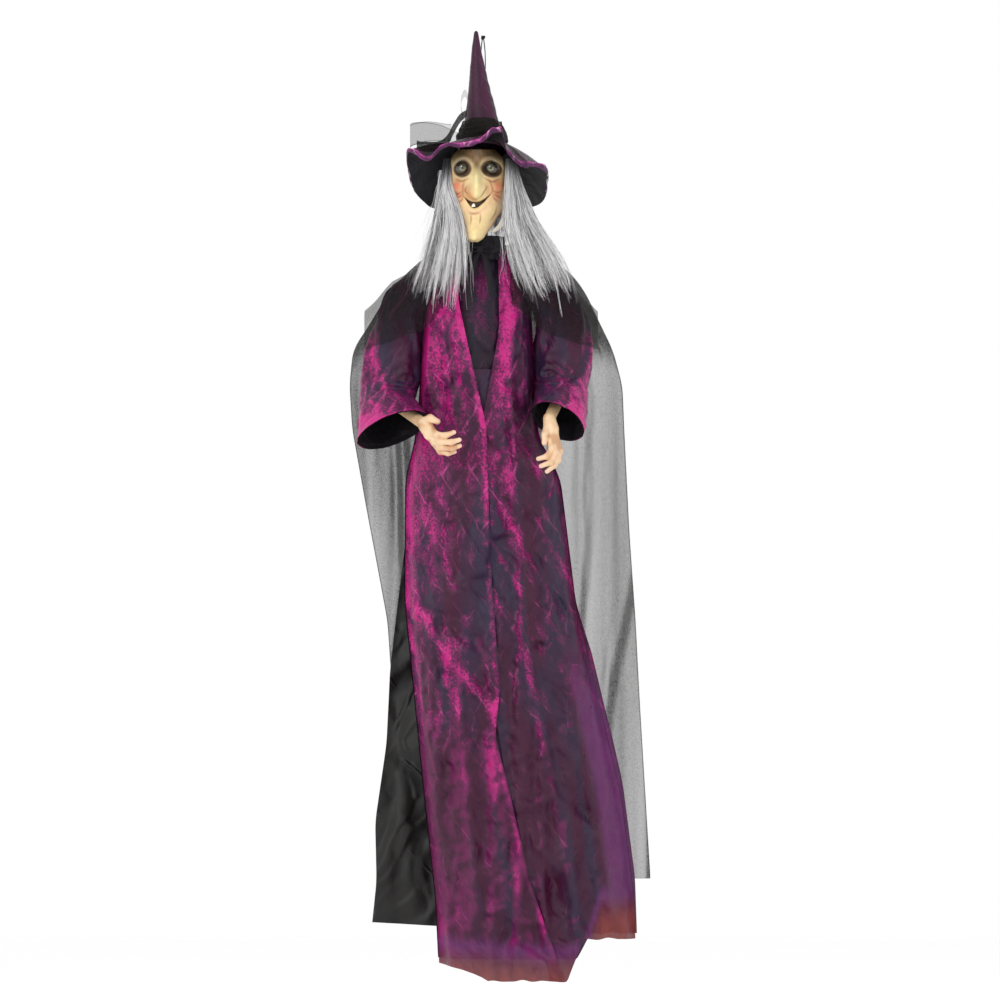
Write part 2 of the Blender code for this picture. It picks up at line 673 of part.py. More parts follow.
def upper_arm(side, name):
    """A tube with a shoulder eye at the top and an elbow eye at the bottom."""
    shoulder = Vector((SHOULDER_X[side], 0, SHOULDER_Z))
    elbow, axis = ELBOW[side], elbow_axis(side)
    way = (elbow - shoulder).normalized()
    x = Vector((1, 0, 0))
    eye = cylinder(shoulder - x * 0.0135, shoulder + x * 0.0135, 0.0135)
    fork = cylinder(elbow - axis * 0.006, elbow + axis * 0.006, 0.0135)
    bore = cylinder(shoulder - x * 0.02, shoulder + x * 0.02, PIN_R + FIT)
    pin_hole = cylinder(elbow - axis * 0.02, elbow + axis * 0.02, PIN_R + FIT)
    limb = cylinder(shoulder + way * 0.008, elbow - way * 0.012, 0.0105, 16)
    return node(f"upper_arm_{name}", limb, "black_plastic", add=[eye, fork], cut=[bore, pin_hole])


def forearm(side, name):
    """A tapering tube whose forked end straddles the upper arm's elbow eye."""
    elbow, wrist, axis = ELBOW[side], WRIST[side], elbow_axis(side)
    way = (wrist - elbow).normalized()
    limb = cylinder(elbow + way * 0.017, wrist - way * GAP, ARM_R, 16, WRIST_R)
    ears = []
    for sign in (-1, 1):
        inner, outer = axis * sign * 0.0064, axis * sign * 0.0114
        ears.append(cylinder(elbow + inner, elbow + outer, 0.0120))
        ears.append(sweep([elbow + (inner + outer) / 2 + way * 0.004,
                           elbow + (inner + outer) / 2 + way * 0.022], (0.0042, 0.0042), 8,
                          (axis, 0.55)))
    bore = cylinder(elbow - axis * 0.02, elbow + axis * 0.02, PIN_R + FIT)
    return node(f"forearm_{name}", limb, "hand_skin", add=ears, cut=[bore])


def elbow_pin(side, name):
    elbow, axis = ELBOW[side], elbow_axis(side)
    return node(f"elbow_pin_{name}", cylinder(elbow - axis * 0.0125, elbow + axis * 0.0130, PIN_R), "steel",
                add=[cylinder(elbow + axis * 0.0117, elbow + axis * 0.0142, 0.0068)])


HANDS = (
    {
        "palm": [(-0.115, -0.142, -0.859), (-0.106, -0.150, -0.866), (-0.092, -0.160, -0.876)],
        "fingers": [
            [(-0.092, -0.160, -0.864), (-0.074, -0.170, -0.870), (-0.054, -0.170, -0.868)],
            [(-0.093, -0.162, -0.873), (-0.070, -0.174, -0.884), (-0.048, -0.176, -0.880),
             (-0.041, -0.172, -0.872)],
            [(-0.096, -0.160, -0.882), (-0.072, -0.172, -0.897), (-0.050, -0.173, -0.895),
             (-0.041, -0.168, -0.888)],
            [(-0.100, -0.156, -0.888), (-0.080, -0.166, -0.905), (-0.058, -0.167, -0.906),
             (-0.048, -0.163, -0.900)],
        ],
        "thumb": [(-0.116, -0.142, -0.850), (-0.103, -0.158, -0.842), (-0.092, -0.168, -0.846)],
    },
    {
        "palm": [(0.150, -0.118, -0.856), (0.153, -0.122, -0.870), (0.154, -0.128, -0.888)],
        "fingers": [
            [(0.142, -0.130, -0.890), (0.138, -0.142, -0.908), (0.137, -0.146, -0.925)],
            [(0.150, -0.130, -0.894), (0.148, -0.146, -0.915), (0.140, -0.152, -0.934),
             (0.129, -0.154, -0.938)],
            [(0.158, -0.128, -0.894), (0.158, -0.144, -0.918), (0.150, -0.152, -0.938),
             (0.138, -0.154, -0.948)],
            [(0.163, -0.122, -0.890), (0.166, -0.136, -0.914), (0.158, -0.146, -0.934),
             (0.147, -0.150, -0.944)],
        ],
        "thumb": [(0.146, -0.118, -0.858), (0.137, -0.132, -0.872), (0.133, -0.140, -0.888)],
    },
)
PALM_RADII = (WRIST_R, WRIST_R, 0.0165, 0.0200, 0.0180)
FINGER_RADII = (0.0078, 0.0060)
THUMB_RADII = (0.0090, 0.0082, 0.0062)


def hand(side, name):
    """Palm, four curled fingers and a thumb, as one moulding."""
    wrist = WRIST[side]
    way = (wrist - ELBOW[side]).normalized()
    start = wrist + way * GAP
    shape = HANDS[side]
    palm = sweep([start, start + way * 0.006] + shape["palm"], PALM_RADII, 10, (across(way)[0], 0.80))
    parts = []
    for finger in shape["fingers"]:
        parts.append(sweep(finger, np.linspace(*FINGER_RADII, len(finger)).tolist(), 8))
    parts.append(sweep(shape["thumb"], THUMB_RADII, 8))
    return node(f"hand_{name}", palm, "hand_skin", add=parts)


def sleeve_upper(side, name):
    """The wide upper sleeve, from the armhole to the elbow."""
    if side == 0:
        rings = [((-0.178, 0.000, -0.558), 0.041, 0.044), ((-0.192, 0.000, -0.612), 0.051, 0.050),
                 ((-0.201, 0.002, -0.680), 0.059, 0.051), ((-0.203, 0.004, -0.752), 0.060, 0.052)]
    else:
        rings = [((0.178, 0.000, -0.553), 0.046, 0.044), ((0.180, 0.000, -0.610), 0.056, 0.050),
                 ((0.180, 0.002, -0.680), 0.059, 0.051), ((0.182, 0.004, -0.738), 0.059, 0.052)]
    inward = 1 if side == 0 else -1
    droop = (-0.018 * inward, 0.0, 0.0, 0.0)
    grid = [ellipse(c, (a, 0, fall), (0, b, 0), 16) for (c, a, b), fall in zip(rings, droop)]
    return node(f"sleeve_upper_{name}", sheet(grid, CLOTH, wrap=True), "magenta_organza")


def sleeve_lower(side, name):
    """The bell below the elbow, widening to a mouth that faces forward and down."""
    if side == 0:
        rings = [((-0.2130, 0.000, -0.768), (0.0540, 0, 0.004), (0, 0.050, -0.010)),
                 ((-0.2155, -0.026, -0.806), (0.0580, 0, 0.012), (0, 0.048, -0.034)),
                 ((-0.2125, -0.058, -0.838), (0.0650, 0, 0.020), (0, 0.044, -0.044)),
                 ((-0.199, -0.086, -0.860), (0.079, 0, 0.025), (0, 0.042, -0.048))]
    else:
        rings = [((0.188, 0.000, -0.754), (0.056, 0, -0.004), (0, 0.050, -0.010)),
                 ((0.187, -0.024, -0.788), (0.057, 0, -0.010), (0, 0.048, -0.032)),
                 ((0.181, -0.052, -0.820), (0.060, 0, -0.016), (0, 0.044, -0.042)),
                 ((0.172, -0.076, -0.840), (0.062, 0, -0.020), (0, 0.042, -0.046))]
    grid = [ellipse(c, a, b, 16) for c, a, b in rings]
    return node(f"sleeve_lower_{name}", sheet(grid, CLOTH, wrap=True), "magenta_organza")


def arms():
    shoulder_parts()
    for side, name in enumerate(("left", "right")):
        shoulder = joint_empty(f"{name}_shoulder_axis", (SHOULDER_X[side], 0, SHOULDER_Z), (1, 0, 0))
        elbow = joint_empty(f"{name}_elbow_axis", ELBOW[side], elbow_axis(side))
        wrist = joint_empty(f"{name}_wrist_axis", WRIST[side], WRIST[side] - ELBOW[side])
        hang_on(shoulder, upper_arm(side, name), sleeve_upper(side, name), elbow_pin(side, name))
        hang_on(elbow, forearm(side, name), sleeve_lower(side, name))
        hang_on(wrist, hand(side, name))


# ---- chest box ------------------------------------------------------------------------------
def screw_places():
    inset = 0.0053
    return [(name, x, z) for name, x, z in (
        ("upper_left", -BOX_X + inset, BOX_Z[1] - inset), ("upper_right", BOX_X - inset, BOX_Z[1] - inset),
        ("lower_left", -BOX_X + inset, BOX_Z[0] + inset), ("lower_right", BOX_X - inset, BOX_Z[0] + inset))]


def chest_box():
    rear = block((-BOX_X, BOX_SPLIT_Y, BOX_Z[0]), (BOX_X, BOX_Y[1], BOX_Z[1]))
    rear_room = block((-BOX_X + BOX_WALL, BOX_SPLIT_Y - 0.01, BOX_Z[0] + BOX_WALL),
                      (BOX_X - BOX_WALL, BOX_Y[1] - BOX_WALL, BOX_Z[1] - BOX_WALL))
    hatch = block((-DOOR_HALF, BOX_Y[1] - 0.01, DOOR_Z[0]), (DOOR_HALF, BOX_Y[1] + 0.01, DOOR_Z[1]))
    socket = cylinder((0, 0, BOX_Z[1] - 0.001), (0, 0, SHOULDER_Z - 0.0133), 0.0100)
    post_hole = cylinder((0, 0, POST_END_Z - GAP), (0, 0, SHOULDER_Z), POST_R + FIT)
    posts, holes = [], []
    for _, x, z in screw_places():
        posts.append(cylinder((x, BOX_SPLIT_Y, z), (x, BOX_Y[1] - 0.001, z), 0.0042, 8))
        holes.append(cylinder((x, BOX_SPLIT_Y - 0.01, z), (x, BOX_SPLIT_Y + 0.012, z), 0.0018, 8))
    body = node("chest_box_rear", rear, "black_plastic", smooth=False)
    refine(body, [("DIFFERENCE", rear_room), ("DIFFERENCE", hatch), ("UNION", socket)]
           + [("UNION", p) for p in posts] + [("DIFFERENCE", h) for h in holes]
           + [("DIFFERENCE", post_hole)])

    front_y = BOX_Y[0]
    front = block((-BOX_X, front_y, BOX_Z[0]), (BOX_X, BOX_SPLIT_Y - GAP, BOX_Z[1]))
    room = block((-BOX_X + BOX_WALL, BOX_Y[0] + BOX_WALL, BOX_Z[0] + BOX_WALL),
                 (BOX_X - BOX_WALL, 0.0, BOX_Z[1] - BOX_WALL))
    lid = node("chest_box_front", front, "black_plastic", smooth=False)
    cuts = [room,
            cylinder((BUTTON[0], front_y - 0.02, BUTTON[1]), (BUTTON[0], front_y + 0.01, BUTTON[1]),
                     BUTTON_R + FIT),
            block((BOX_X - 0.01, front_y + 0.0065, SWITCH_Z - 0.0060),
                  (BOX_X + 0.01, front_y + 0.0115, SWITCH_Z + 0.0060))]
    for x in (-0.012, -0.006, 0.0, 0.006, 0.012):
        reach = 0.6 * math.sqrt(0.018 ** 2 - x ** 2)
        cuts.append(block((x - 0.001, front_y - 0.02, SPEAKER_Z - reach),
                          (x + 0.001, front_y + 0.003, SPEAKER_Z + reach)))
    cuts += [cylinder((x, front_y - 0.02, z), (x, 0.0, z), 0.0018, 8) for _, x, z in screw_places()]
    refine(lid, [("DIFFERENCE", c) for c in cuts])

    for name, x, z in screw_places():
        node(f"box_screw_{name}", cylinder((x, BOX_Y[0] - GAP, z), (x, BOX_SPLIT_Y + 0.010, z), 0.0014, 8),
             "steel",
             add=[cylinder((x, BOX_Y[0] - 0.0023, z), (x, BOX_Y[0] - GAP, z), 0.0030, 10)])


def refine(made, steps):
    """Adds Boolean steps in the order given."""
    for number, (kind, shape) in enumerate(steps):
        helper = mesh_object(f"{made.name}_step_{number}", *shape)
        helper.hide_render = True
        helper.display_type = "WIRE"
        change = made.modifiers.new(f"{kind.title()} {number}", "BOOLEAN")
        change.operation = kind
        change.solver = "EXACT"
        change.object = helper


def box_contents():
    for number, z in enumerate(BATTERY_Z, 1):
        half = BATTERY_LENGTH / 2
        node(f"battery_{number}",
             cylinder((-half + 0.0008, BATTERY_Y, z), (half - 0.0015, BATTERY_Y, z), BATTERY_R, 16),
             "battery",
             add=[cylinder((half - 0.0017, BATTERY_Y, z), (half, BATTERY_Y, z), 0.0027, 12)])
    board_y = BOX_Y[0] + 0.026
    plate_x = BATTERY_LENGTH / 2 + 0.0010
    node("battery_contacts", block((plate_x, BATTERY_Y - 0.007, BATTERY_Z[2] - 0.007),
                                   (plate_x + 0.0010, BATTERY_Y + 0.007, BATTERY_Z[0] + 0.007)),
         "steel", smooth=False)
    node("circuit_board", block((-0.034, board_y, -0.632), (0.034, board_y + 0.0016, -0.598)), "board",
         add=[block((-0.010, board_y + 0.0015, -0.622), (0.006, board_y + 0.0040, -0.610)),
              cylinder((0.022, board_y + 0.0015, -0.615), (0.022, board_y + 0.0100, -0.615), 0.004)],
         smooth=False)
    rim_y = BOX_Y[0] + 0.0035
    node("speaker", cylinder((0, rim_y, SPEAKER_Z), (0, rim_y + 0.004, SPEAKER_Z), SPEAKER_R, 20),
         "black_plastic",
         add=[cylinder((0, rim_y + 0.0035, SPEAKER_Z), (0, rim_y + 0.0135, SPEAKER_Z), 0.0100),
              cylinder((0, rim_y + 0.0130, SPEAKER_Z), (0, rim_y + 0.0205, SPEAKER_Z), 0.0125)])


def box_controls():
    front_y = BOX_Y[0]
    door = node("battery_door", block((-DOOR_HALF + 0.0004, BOX_Y[1] - 0.0018, DOOR_Z[0] + 0.0010),
                                      (DOOR_HALF - 0.0004, BOX_Y[1] + 0.0002, DOOR_Z[1] - 0.0004)),
                "black_plastic",
                add=[cylinder((-0.024, BOX_Y[1] + 0.0014, DOOR_Z[0] - 0.0008),
                              (0.024, BOX_Y[1] + 0.0014, DOOR_Z[0] - 0.0008),
                              0.0011, 12),
                     block((-0.024, BOX_Y[1] + 0.0001, DOOR_Z[0] - 0.0008),
                           (0.024, BOX_Y[1] + 0.0020, DOOR_Z[0] + 0.0040))],
                smooth=False)
    hang_on(joint_empty("battery_door_axis", (0, BOX_Y[1] + 0.0014, DOOR_Z[0] - 0.0008), (1, 0, 0)), door)
    button = node("test_button",
                  cylinder((BUTTON[0], front_y - 0.0035, BUTTON[1]), (BUTTON[0], front_y + 0.006, BUTTON[1]),
                           BUTTON_R),
                  "red_plastic",
                  add=[cylinder((BUTTON[0], front_y + 0.0025, BUTTON[1]),
                                (BUTTON[0], front_y + 0.006, BUTTON[1]), 0.0080)])
    hang_on(joint_empty("test_button_axis", (BUTTON[0], front_y, BUTTON[1]), (0, 1, 0)), button)
    switch = node("power_switch",
                  block((BOX_X - 0.0060, front_y + 0.0069, SWITCH_Z - 0.0055),
                        (BOX_X + 0.0025, front_y + 0.0111, SWITCH_Z + 0.0013)),
                  "red_plastic", smooth=False)
    hang_on(joint_empty("power_switch_axis", (BOX_X, front_y + 0.009, SWITCH_Z), (0, 0, 1)), switch)


# ---- clothes --------------------------------------------------------------------------------
def garment_y(x, z, layer):
    """Depth of the front of the clothes; each layer lies 6 mm outside the one below."""
    left, right = at(ROBE, z), at(ROBE, z, 2)
    off = min(abs((x - (left + right) / 2) / ((right - left) / 2)), 1.0)
    return -at(FRONT_DEPTH, z) * (1 - at(FRONT_CURVE, z) * off ** 2.6) - 0.006 * layer


def panel(name, slot, left, right, top, bottom, depth, rows=12, columns=8):
    """A garment panel between two edges, from its top down to its hem."""
    grid = []
    for i in range(rows):
        share = i / (rows - 1)
        row = []
        for j in range(columns):
            across_share = j / (columns - 1)
            z = top - share * (top + 2.0)
            x = left(z) + (right(z) - left(z)) * across_share
            z = top + (bottom(x) - top) * share
            x = left(z) + (right(z) - left(z)) * across_share
            row.append((x, depth(x, z), z))
        grid.append(row)
    return node(name, sheet(grid, CLOTH), slot)


def left_side(inset):
    """The robe's left outline moved in by inset, as a function of height."""
    return lambda z: at(ROBE, z) + inset


def right_side(inset):
    return lambda z: at(ROBE, z, 2) - inset


def level(z):
    """A straight hem at one height."""
    return lambda x: z


def along(line):
    """A hem that follows a line of (x, z) points."""
    return lambda x: float(np.interp(x, [p[0] for p in line], [p[1] for p in line]))


def column_of(table, column=1):
    return lambda z: at(table, z, column)


def layer_depth(layer):
    """The depth of one of the garment's layers, as a function of place."""
    return lambda x, z: garment_y(x, z, layer)


def robe():
    """Bodice, skirt, the two coat fronts, the back and the black underskirt."""
    panel("bodice_front", "plum_satin", left_side(BODICE_INSET), right_side(BODICE_INSET), -0.490,
          level(-0.728), layer_depth(-2), 8)
    panel("skirt_front", "plum_satin", left_side(SKIRT_INSET), right_side(SKIRT_INSET), -0.732,
          along(LINING_HEM), layer_depth(-1), 12)
    panel("coat_right", "magenta_organza", column_of(COAT_RIGHT_INNER), right_side(0.0), -0.490,
          along(HEM), layer_depth(0), 14)
    panel("coat_left", "magenta_organza", left_side(0.0), column_of(COAT_LEFT_INNER), -0.490,
          along(HEM), layer_depth(1), 14)
    panel("robe_back", "magenta_organza", left_side(0.0), right_side(0.0), -0.490, level(-2.030),
          back_y, 12, 12)
    panel("black_underskirt", "black_taffeta", column_of(UNDERSKIRT_LEFT), level(UNDERSKIRT_RIGHT),
          -1.110, along(UNDERSKIRT_HEM), level_depth(UNDERSKIRT_Y), 7, 6)


def level_depth(y):
    return lambda x, z: y


def back_y(x, z):
    left, right = at(ROBE, z), at(ROBE, z, 2)
    off = min(abs((x - (left + right) / 2) / ((right - left) / 2)), 1.0)
    return at(BACK_DEPTH, z) * (1 - at(BACK_CURVE, z) * off ** 3.0) - 0.004


def cape():
    """The long net cape behind, drawn in at the neck."""
    def depth(x, z):
        left, right = at(CAPE, z), at(CAPE, z, 2)
        off = abs((x - (left + right) / 2) / ((right - left) / 2))
        near = at(((-2.0, 0.112), (-0.640, 0.110), (-0.560, 0.092), (-0.500, 0.076), (-0.450, 0.064)), z)
        return near - 0.020 * off ** 2.5
    panel("cape", "black_tulle", lambda z: at(CAPE, z), lambda z: at(CAPE, z, 2), -0.450,
          lambda x: -1.857, depth, 14, 12)


def neck_wear():
    node("collar", tube(-0.480, -0.432, 0.0470, 0.0430, sides=20), "black_taffeta")
    tails = [
        sweep([(-0.0066, -0.055, -0.466), (-0.020, -0.085, -0.500), (-0.030, -0.102, -0.575)],
              (0.006, 0.007, 0.008), 8, ((0, 1, 0), 0.35)),
        sweep([(-0.0066, -0.055, -0.466), (0.008, -0.085, -0.500), (0.016, -0.100, -0.560)],
              (0.006, 0.007, 0.008), 8, ((0, 1, 0), 0.35)),
        sweep([(-0.040, -0.058, -0.466), (-0.022, -0.060, -0.462), (0.010, -0.060, -0.462),
               (0.027, -0.058, -0.466)],
              (0.006, 0.010, 0.010, 0.006), 8, ((0, 1, 0), 0.45)),
    ]
    node("neck_ribbon", ball((-0.0066, -0.0570, -0.463), (0.008, 0.006, 0.008), 10, 6), "black_taffeta",
         add=tails)


# ---- assembly -------------------------------------------------------------------------------
def main():
    clear_scene()
    hang_cord()
    post_pieces()
    pinion, wheel = neck_drive()
    distance = MODULE * (NECK_TEETH + PINION_TEETH) / 2
    hang_on(joint_empty("pinion_axis", (0, distance, GEAR_TOP_Z), (0, 0, 1)), pinion)
    head = [wheel, neck_tube(), face_mask(), head_shell(), hat_cone(), hat_brim(), hat_tulle_band()]
    head += eyes() + hair()
    hang_on(joint_empty("head_axis", (0, 0, GEAR_TOP_Z), (0, 0, 1)), *head)
    arms()
    chest_box()
    box_contents()
    box_controls()
    robe()
    cape()
    neck_wear()


main()
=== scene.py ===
"""Hanging animated witch: cloth, hair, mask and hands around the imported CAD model.

Metres, +Z up. The figure hangs from the origin and faces -Y, so the viewer's left is -X.
"""

import json
import math

import bpy
import numpy as np
import openvdb
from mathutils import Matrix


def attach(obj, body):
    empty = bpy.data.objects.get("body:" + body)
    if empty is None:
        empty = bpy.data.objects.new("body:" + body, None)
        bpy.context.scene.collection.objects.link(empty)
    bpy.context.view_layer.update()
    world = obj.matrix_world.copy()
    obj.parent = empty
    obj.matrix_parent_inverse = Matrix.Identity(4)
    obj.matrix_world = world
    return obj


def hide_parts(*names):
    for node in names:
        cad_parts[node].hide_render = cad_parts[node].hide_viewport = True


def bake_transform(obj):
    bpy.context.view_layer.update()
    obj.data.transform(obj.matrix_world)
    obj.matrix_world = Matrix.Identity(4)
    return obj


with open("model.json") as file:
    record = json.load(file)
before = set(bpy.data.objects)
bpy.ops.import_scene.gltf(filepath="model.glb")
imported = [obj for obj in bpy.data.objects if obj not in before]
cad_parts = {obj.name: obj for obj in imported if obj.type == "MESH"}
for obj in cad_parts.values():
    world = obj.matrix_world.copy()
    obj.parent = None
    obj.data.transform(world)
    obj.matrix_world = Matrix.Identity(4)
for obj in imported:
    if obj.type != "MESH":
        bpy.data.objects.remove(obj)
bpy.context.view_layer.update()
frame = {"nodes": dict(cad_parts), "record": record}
NODES = frame["nodes"]
SEED = 20

# ---- camera and light -----------------------------------------------------------------------
CAMERA_AIM = (0.0376, -1.0168)
CAMERA_DISTANCE = 40.0
VIEW_WIDTH = 2.2105
SENSOR_WIDTH = 36.0
FLOOR_Z = -2.2
FLOOR_HALF = 9.0


def camera():
    """A long lens, level and straight in front, as wide as the whole hanging figure."""
    lens = bpy.data.cameras.new("camera")
    lens.sensor_width = SENSOR_WIDTH
    lens.lens = SENSOR_WIDTH * CAMERA_DISTANCE / VIEW_WIDTH
    lens.clip_end = 200.0
    eye = bpy.data.objects.new("camera", lens)
    eye.location = (CAMERA_AIM[0], -CAMERA_DISTANCE, CAMERA_AIM[1])
    eye.rotation_euler = (math.pi / 2, 0.0, 0.0)
    bpy.context.scene.collection.objects.link(eye)
    bpy.context.scene.camera = eye


def area_light(name, place, aim, size, power):
    """A soft box that points at aim."""
    lamp = bpy.data.lights.new(name, "AREA")
    lamp.shape = "RECTANGLE"
    lamp.size, lamp.size_y = size
    lamp.energy = power
    holder = bpy.data.objects.new(name, lamp)
    holder.location = place
    way = np.subtract(aim, place)
    flat = math.hypot(way[0], way[1])
    holder.rotation_euler = (math.atan2(flat, -way[2]), 0.0, math.atan2(-way[0], way[1]))
    bpy.context.scene.collection.objects.link(holder)


def studio():
    """White surroundings, two soft boxes in front and one behind."""
    world = bpy.data.worlds.new("studio")
    world.use_nodes = True
    surroundings = world.node_tree.nodes["Background"].inputs
    surroundings["Color"].default_value = (1.0, 1.0, 1.0, 1.0)
    surroundings["Strength"].default_value = 1.0
    bpy.context.scene.world = world
    bpy.context.scene.view_settings.view_transform = "Standard"
    area_light("key", (-2.6, -4.2, 1.2), (0.0, 0.0, -0.8), (1.2, 1.8), 62.0)
    area_light("fill", (3.0, -3.6, -0.4), (0.0, 0.0, -1.0), (0.8, 2.4), 12.0)
    area_light("back", (0.6, 4.0, 0.6), (0.0, 0.0, -0.9), (1.6, 2.2), 16.0)


# ---- numbers --------------------------------------------------------------------------------
TURN = 2.0 * math.pi


def ramp(low, high, value):
    """0 below low, 1 above high and smooth between."""
    share = np.clip((value - low) / (high - low), 0.0, 1.0)
    return share * share * (3.0 - 2.0 * share)

def hump(value, middle, width):
    """1 at the middle, and close to 0 from two widths away."""
    return np.exp(-((value - middle) / width) ** 2)


def follow(table, place):
    """The second column of a table at places along its first."""
    return np.interp(place, *zip(*table))


def by_row(count, first=0.0, last=1.0):
    """Even steps from first to last, one for each row of a grid."""
    return np.linspace(first, last, count)[:, None]


def by_column(count, first=0.0, last=1.0):
    """Even steps from first to last, one for each column of a grid."""
    return np.linspace(first, last, count)[None, :]


def by_turn(count):
    """Angles round a circle, one for each column of a closed grid."""
    return np.linspace(0.0, TURN, count, endpoint=False)[None, :]


def join(*parts):
    """Numbers, rows and grids as one array of points, spread to a common shape."""
    return np.stack(np.broadcast_arrays(*parts), axis=-1)


def at(table, z, column=1, soft=0.02):
    """A column of a table whose rows start with a height, at heights z, with its corners eased."""
    rows = sorted(table)
    heights = [row[0] for row in rows]
    values = [row[column] for row in rows]
    steps = (-soft, -0.5 * soft, 0.0, 0.5 * soft, soft)
    return sum(np.interp(np.asarray(z) + step, heights, values) for step in steps) / len(steps)


def lattice(i, j, seed):
    """A repeatable number from 0 to 1 for each lattice point."""
    mixed = ((i * 73856093) ^ (j * 19349663) ^ (seed * 83492791)) & 0x7FFFFFFF
    mixed = ((mixed ^ (mixed >> 13)) * 1274126177) & 0x7FFFFFFF
    mixed = ((mixed ^ (mixed >> 15)) * 1911520717) & 0x7FFFFFFF
    return ((mixed ^ (mixed >> 12)) & 0xFFFF) / 65535.0


def noise(u, v, seed=0):
    """Smooth noise from -1 to 1 with features one unit across."""
    i, j = np.floor(u).astype(np.int64), np.floor(v).astype(np.int64)
    a, b = ramp(0.0, 1.0, u - i), ramp(0.0, 1.0, v - j)
    low = lattice(i, j, seed) * (1 - a) + lattice(i + 1, j, seed) * a
    high = lattice(i, j + 1, seed) * (1 - a) + lattice(i + 1, j + 1, seed) * a
    return 2.0 * (low * (1 - b) + high * b) - 1.0


def facets(u, v, seed, sharp=8.0):
    """Height of a crumpled sheet: cells one unit across, each tilted its own way, joined by creases."""
    i, j = np.floor(u).astype(np.int64), np.floor(v).astype(np.int64)
    total, weights = 0.0, 1e-9
    for di in (-1, 0, 1):
        for dj in (-1, 0, 1):
            du = u - (i + di + lattice(i + di, j + dj, seed))
            dv = v - (j + dj + lattice(i + di, j + dj, seed + 1))
            weight = np.exp(-sharp * (du * du + dv * dv))
            tilt = TURN * lattice(i + di, j + dj, seed + 2)
            total = total + weight * (du * np.cos(tilt) + dv * np.sin(tilt))
            weights = weights + weight
    return total / weights


def crumple(u, v, seed, size=0.06, lean=0.5):
    """Three sizes of crease together, in metres, for slopes of about one in three."""
    bend = 0.25 * size
    u = u + bend * noise(u / size, v / size, seed + 50) + lean * 0.3 * v
    v = v + bend * noise(u / size, v / size, seed + 51)
    height = 0.0
    for step, (share, amount) in enumerate(((1.0, 0.3), (0.52, 0.3), (0.26, 0.26))):
        cell = size * share
        height = height + amount * cell * facets(u / cell, v / (1.5 * cell), seed + 7 * step)
    return height


def hang(u, v, seed, width=0.075):
    """Long soft folds down a hanging cloth, from -1 to 1."""
    drift = 0.45 * noise(u / 0.2, v / 0.55, seed) + 0.18 * noise(u / 0.08, v / 0.3, seed + 1)
    first = np.cos(TURN * (u / width + drift))
    second = np.cos(TURN * (u / (0.53 * width) + 1.7 * drift + 0.3))
    return 0.72 * first + 0.28 * second


def normals(points, wrap=False):
    """Unit normals of a grid whose rows go down and columns go right, towards the viewer."""
    if wrap:
        points = np.concatenate([points[:, -3:], points, points[:, :3]], axis=1)
    across = np.cross(np.gradient(points, axis=0), np.gradient(points, axis=1))
    across = across / np.maximum(np.linalg.norm(across, axis=2, keepdims=True), 1e-12)
    return across[:, 3:-3] if wrap else across


def spline(points, count, closed=False):
    """count points along a smooth line through the given ones."""
    points = np.asarray(points, float)
    if closed:
        ring = np.concatenate([points[-1:], points, points[:2]])
        spans = len(points)
    else:
        before, after = 2 * points[:1] - points[1:2], 2 * points[-1:] - points[-2:-1]
        ring = np.concatenate([before, points, after])
        spans = len(points) - 1
    place = np.linspace(0.0, spans, count, endpoint=not closed)
    first = np.minimum(place.astype(int), spans - 1)
    t = (place - first).reshape((-1,) + (1,) * (points.ndim - 1))
    a, b, c, d = ring[first], ring[first + 1], ring[first + 2], ring[first + 3]
    return b + 0.5 * t * (c - a + t * (2 * a - 5 * b + 4 * c - d + t * (3 * (b - c) + d - a)))


# ---- meshes ---------------------------------------------------------------------------------
def linear(colour):
    """A colour given as 0 to 255 screen values, as the linear values a shader takes."""
    share = np.asarray(colour, float) / 255.0
    return np.where(share <= 0.04045, share / 12.92, ((share + 0.055) / 1.055) ** 2.4)


def rgba(colour):
    """A screen colour as a shader's colour."""
    return (*linear(colour).tolist(), 1.0)


def piece(name, vertices, faces, finish, smooth=True, cloth=None, **values):
    """An object from arrays, with its material, its cloth metres as UVs and its point values."""
    mesh = bpy.data.meshes.new(name)
    mesh.from_pydata(np.asarray(vertices).tolist(), [], [list(face) for face in faces])
    if smooth:
        mesh.shade_smooth()
    for key, value in values.items():
        value = np.asarray(value, dtype=np.float32)
        if value.ndim == 2:
            layer = mesh.attributes.new(key, "FLOAT_COLOR", "POINT")
            layer.data.foreach_set("color", np.column_stack([value, np.ones(len(value))]).ravel())
        else:
            mesh.attributes.new(key, "FLOAT", "POINT").data.foreach_set("value", value)
    if cloth is not None:
        corners = np.empty(len(mesh.loops), dtype=np.int32)
        mesh.loops.foreach_get("vertex_index", corners)
        mesh.uv_layers.new(name="cloth").data.foreach_set("uv", cloth[corners].ravel())
    mesh.materials.append(finish)
    made = bpy.data.objects.new(name, mesh)
    bpy.context.scene.collection.objects.link(made)
    return made


def grid_faces(rows, columns, wrap=False):
    """Quads of a grid, wound to face the viewer; wrap joins the last column to the first."""
    index = np.arange(rows * columns).reshape(rows, columns)
    right = np.roll(index, -1, axis=1) if wrap else index[:, 1:]
    left = index if wrap else index[:, :-1]
    return np.stack([left[:-1], left[1:], right[1:], right[:-1]], axis=-1).reshape(-1, 4).tolist()


def cloth_metres(points):
    """How far along the cloth each grid point lies, across and down."""
    rows, columns = points.shape[:2]
    u = np.zeros((rows, columns))
    u[:, 1:] = np.cumsum(np.linalg.norm(np.diff(points, axis=1), axis=2), axis=1)
    u -= u[:, columns // 2:columns // 2 + 1]
    v = np.zeros(rows)
    v[1:] = np.cumsum(np.linalg.norm(np.diff(points[:, columns // 2], axis=0), axis=1))
    return np.stack([u, np.broadcast_to(v[:, None], u.shape)], axis=-1).reshape(-1, 2)


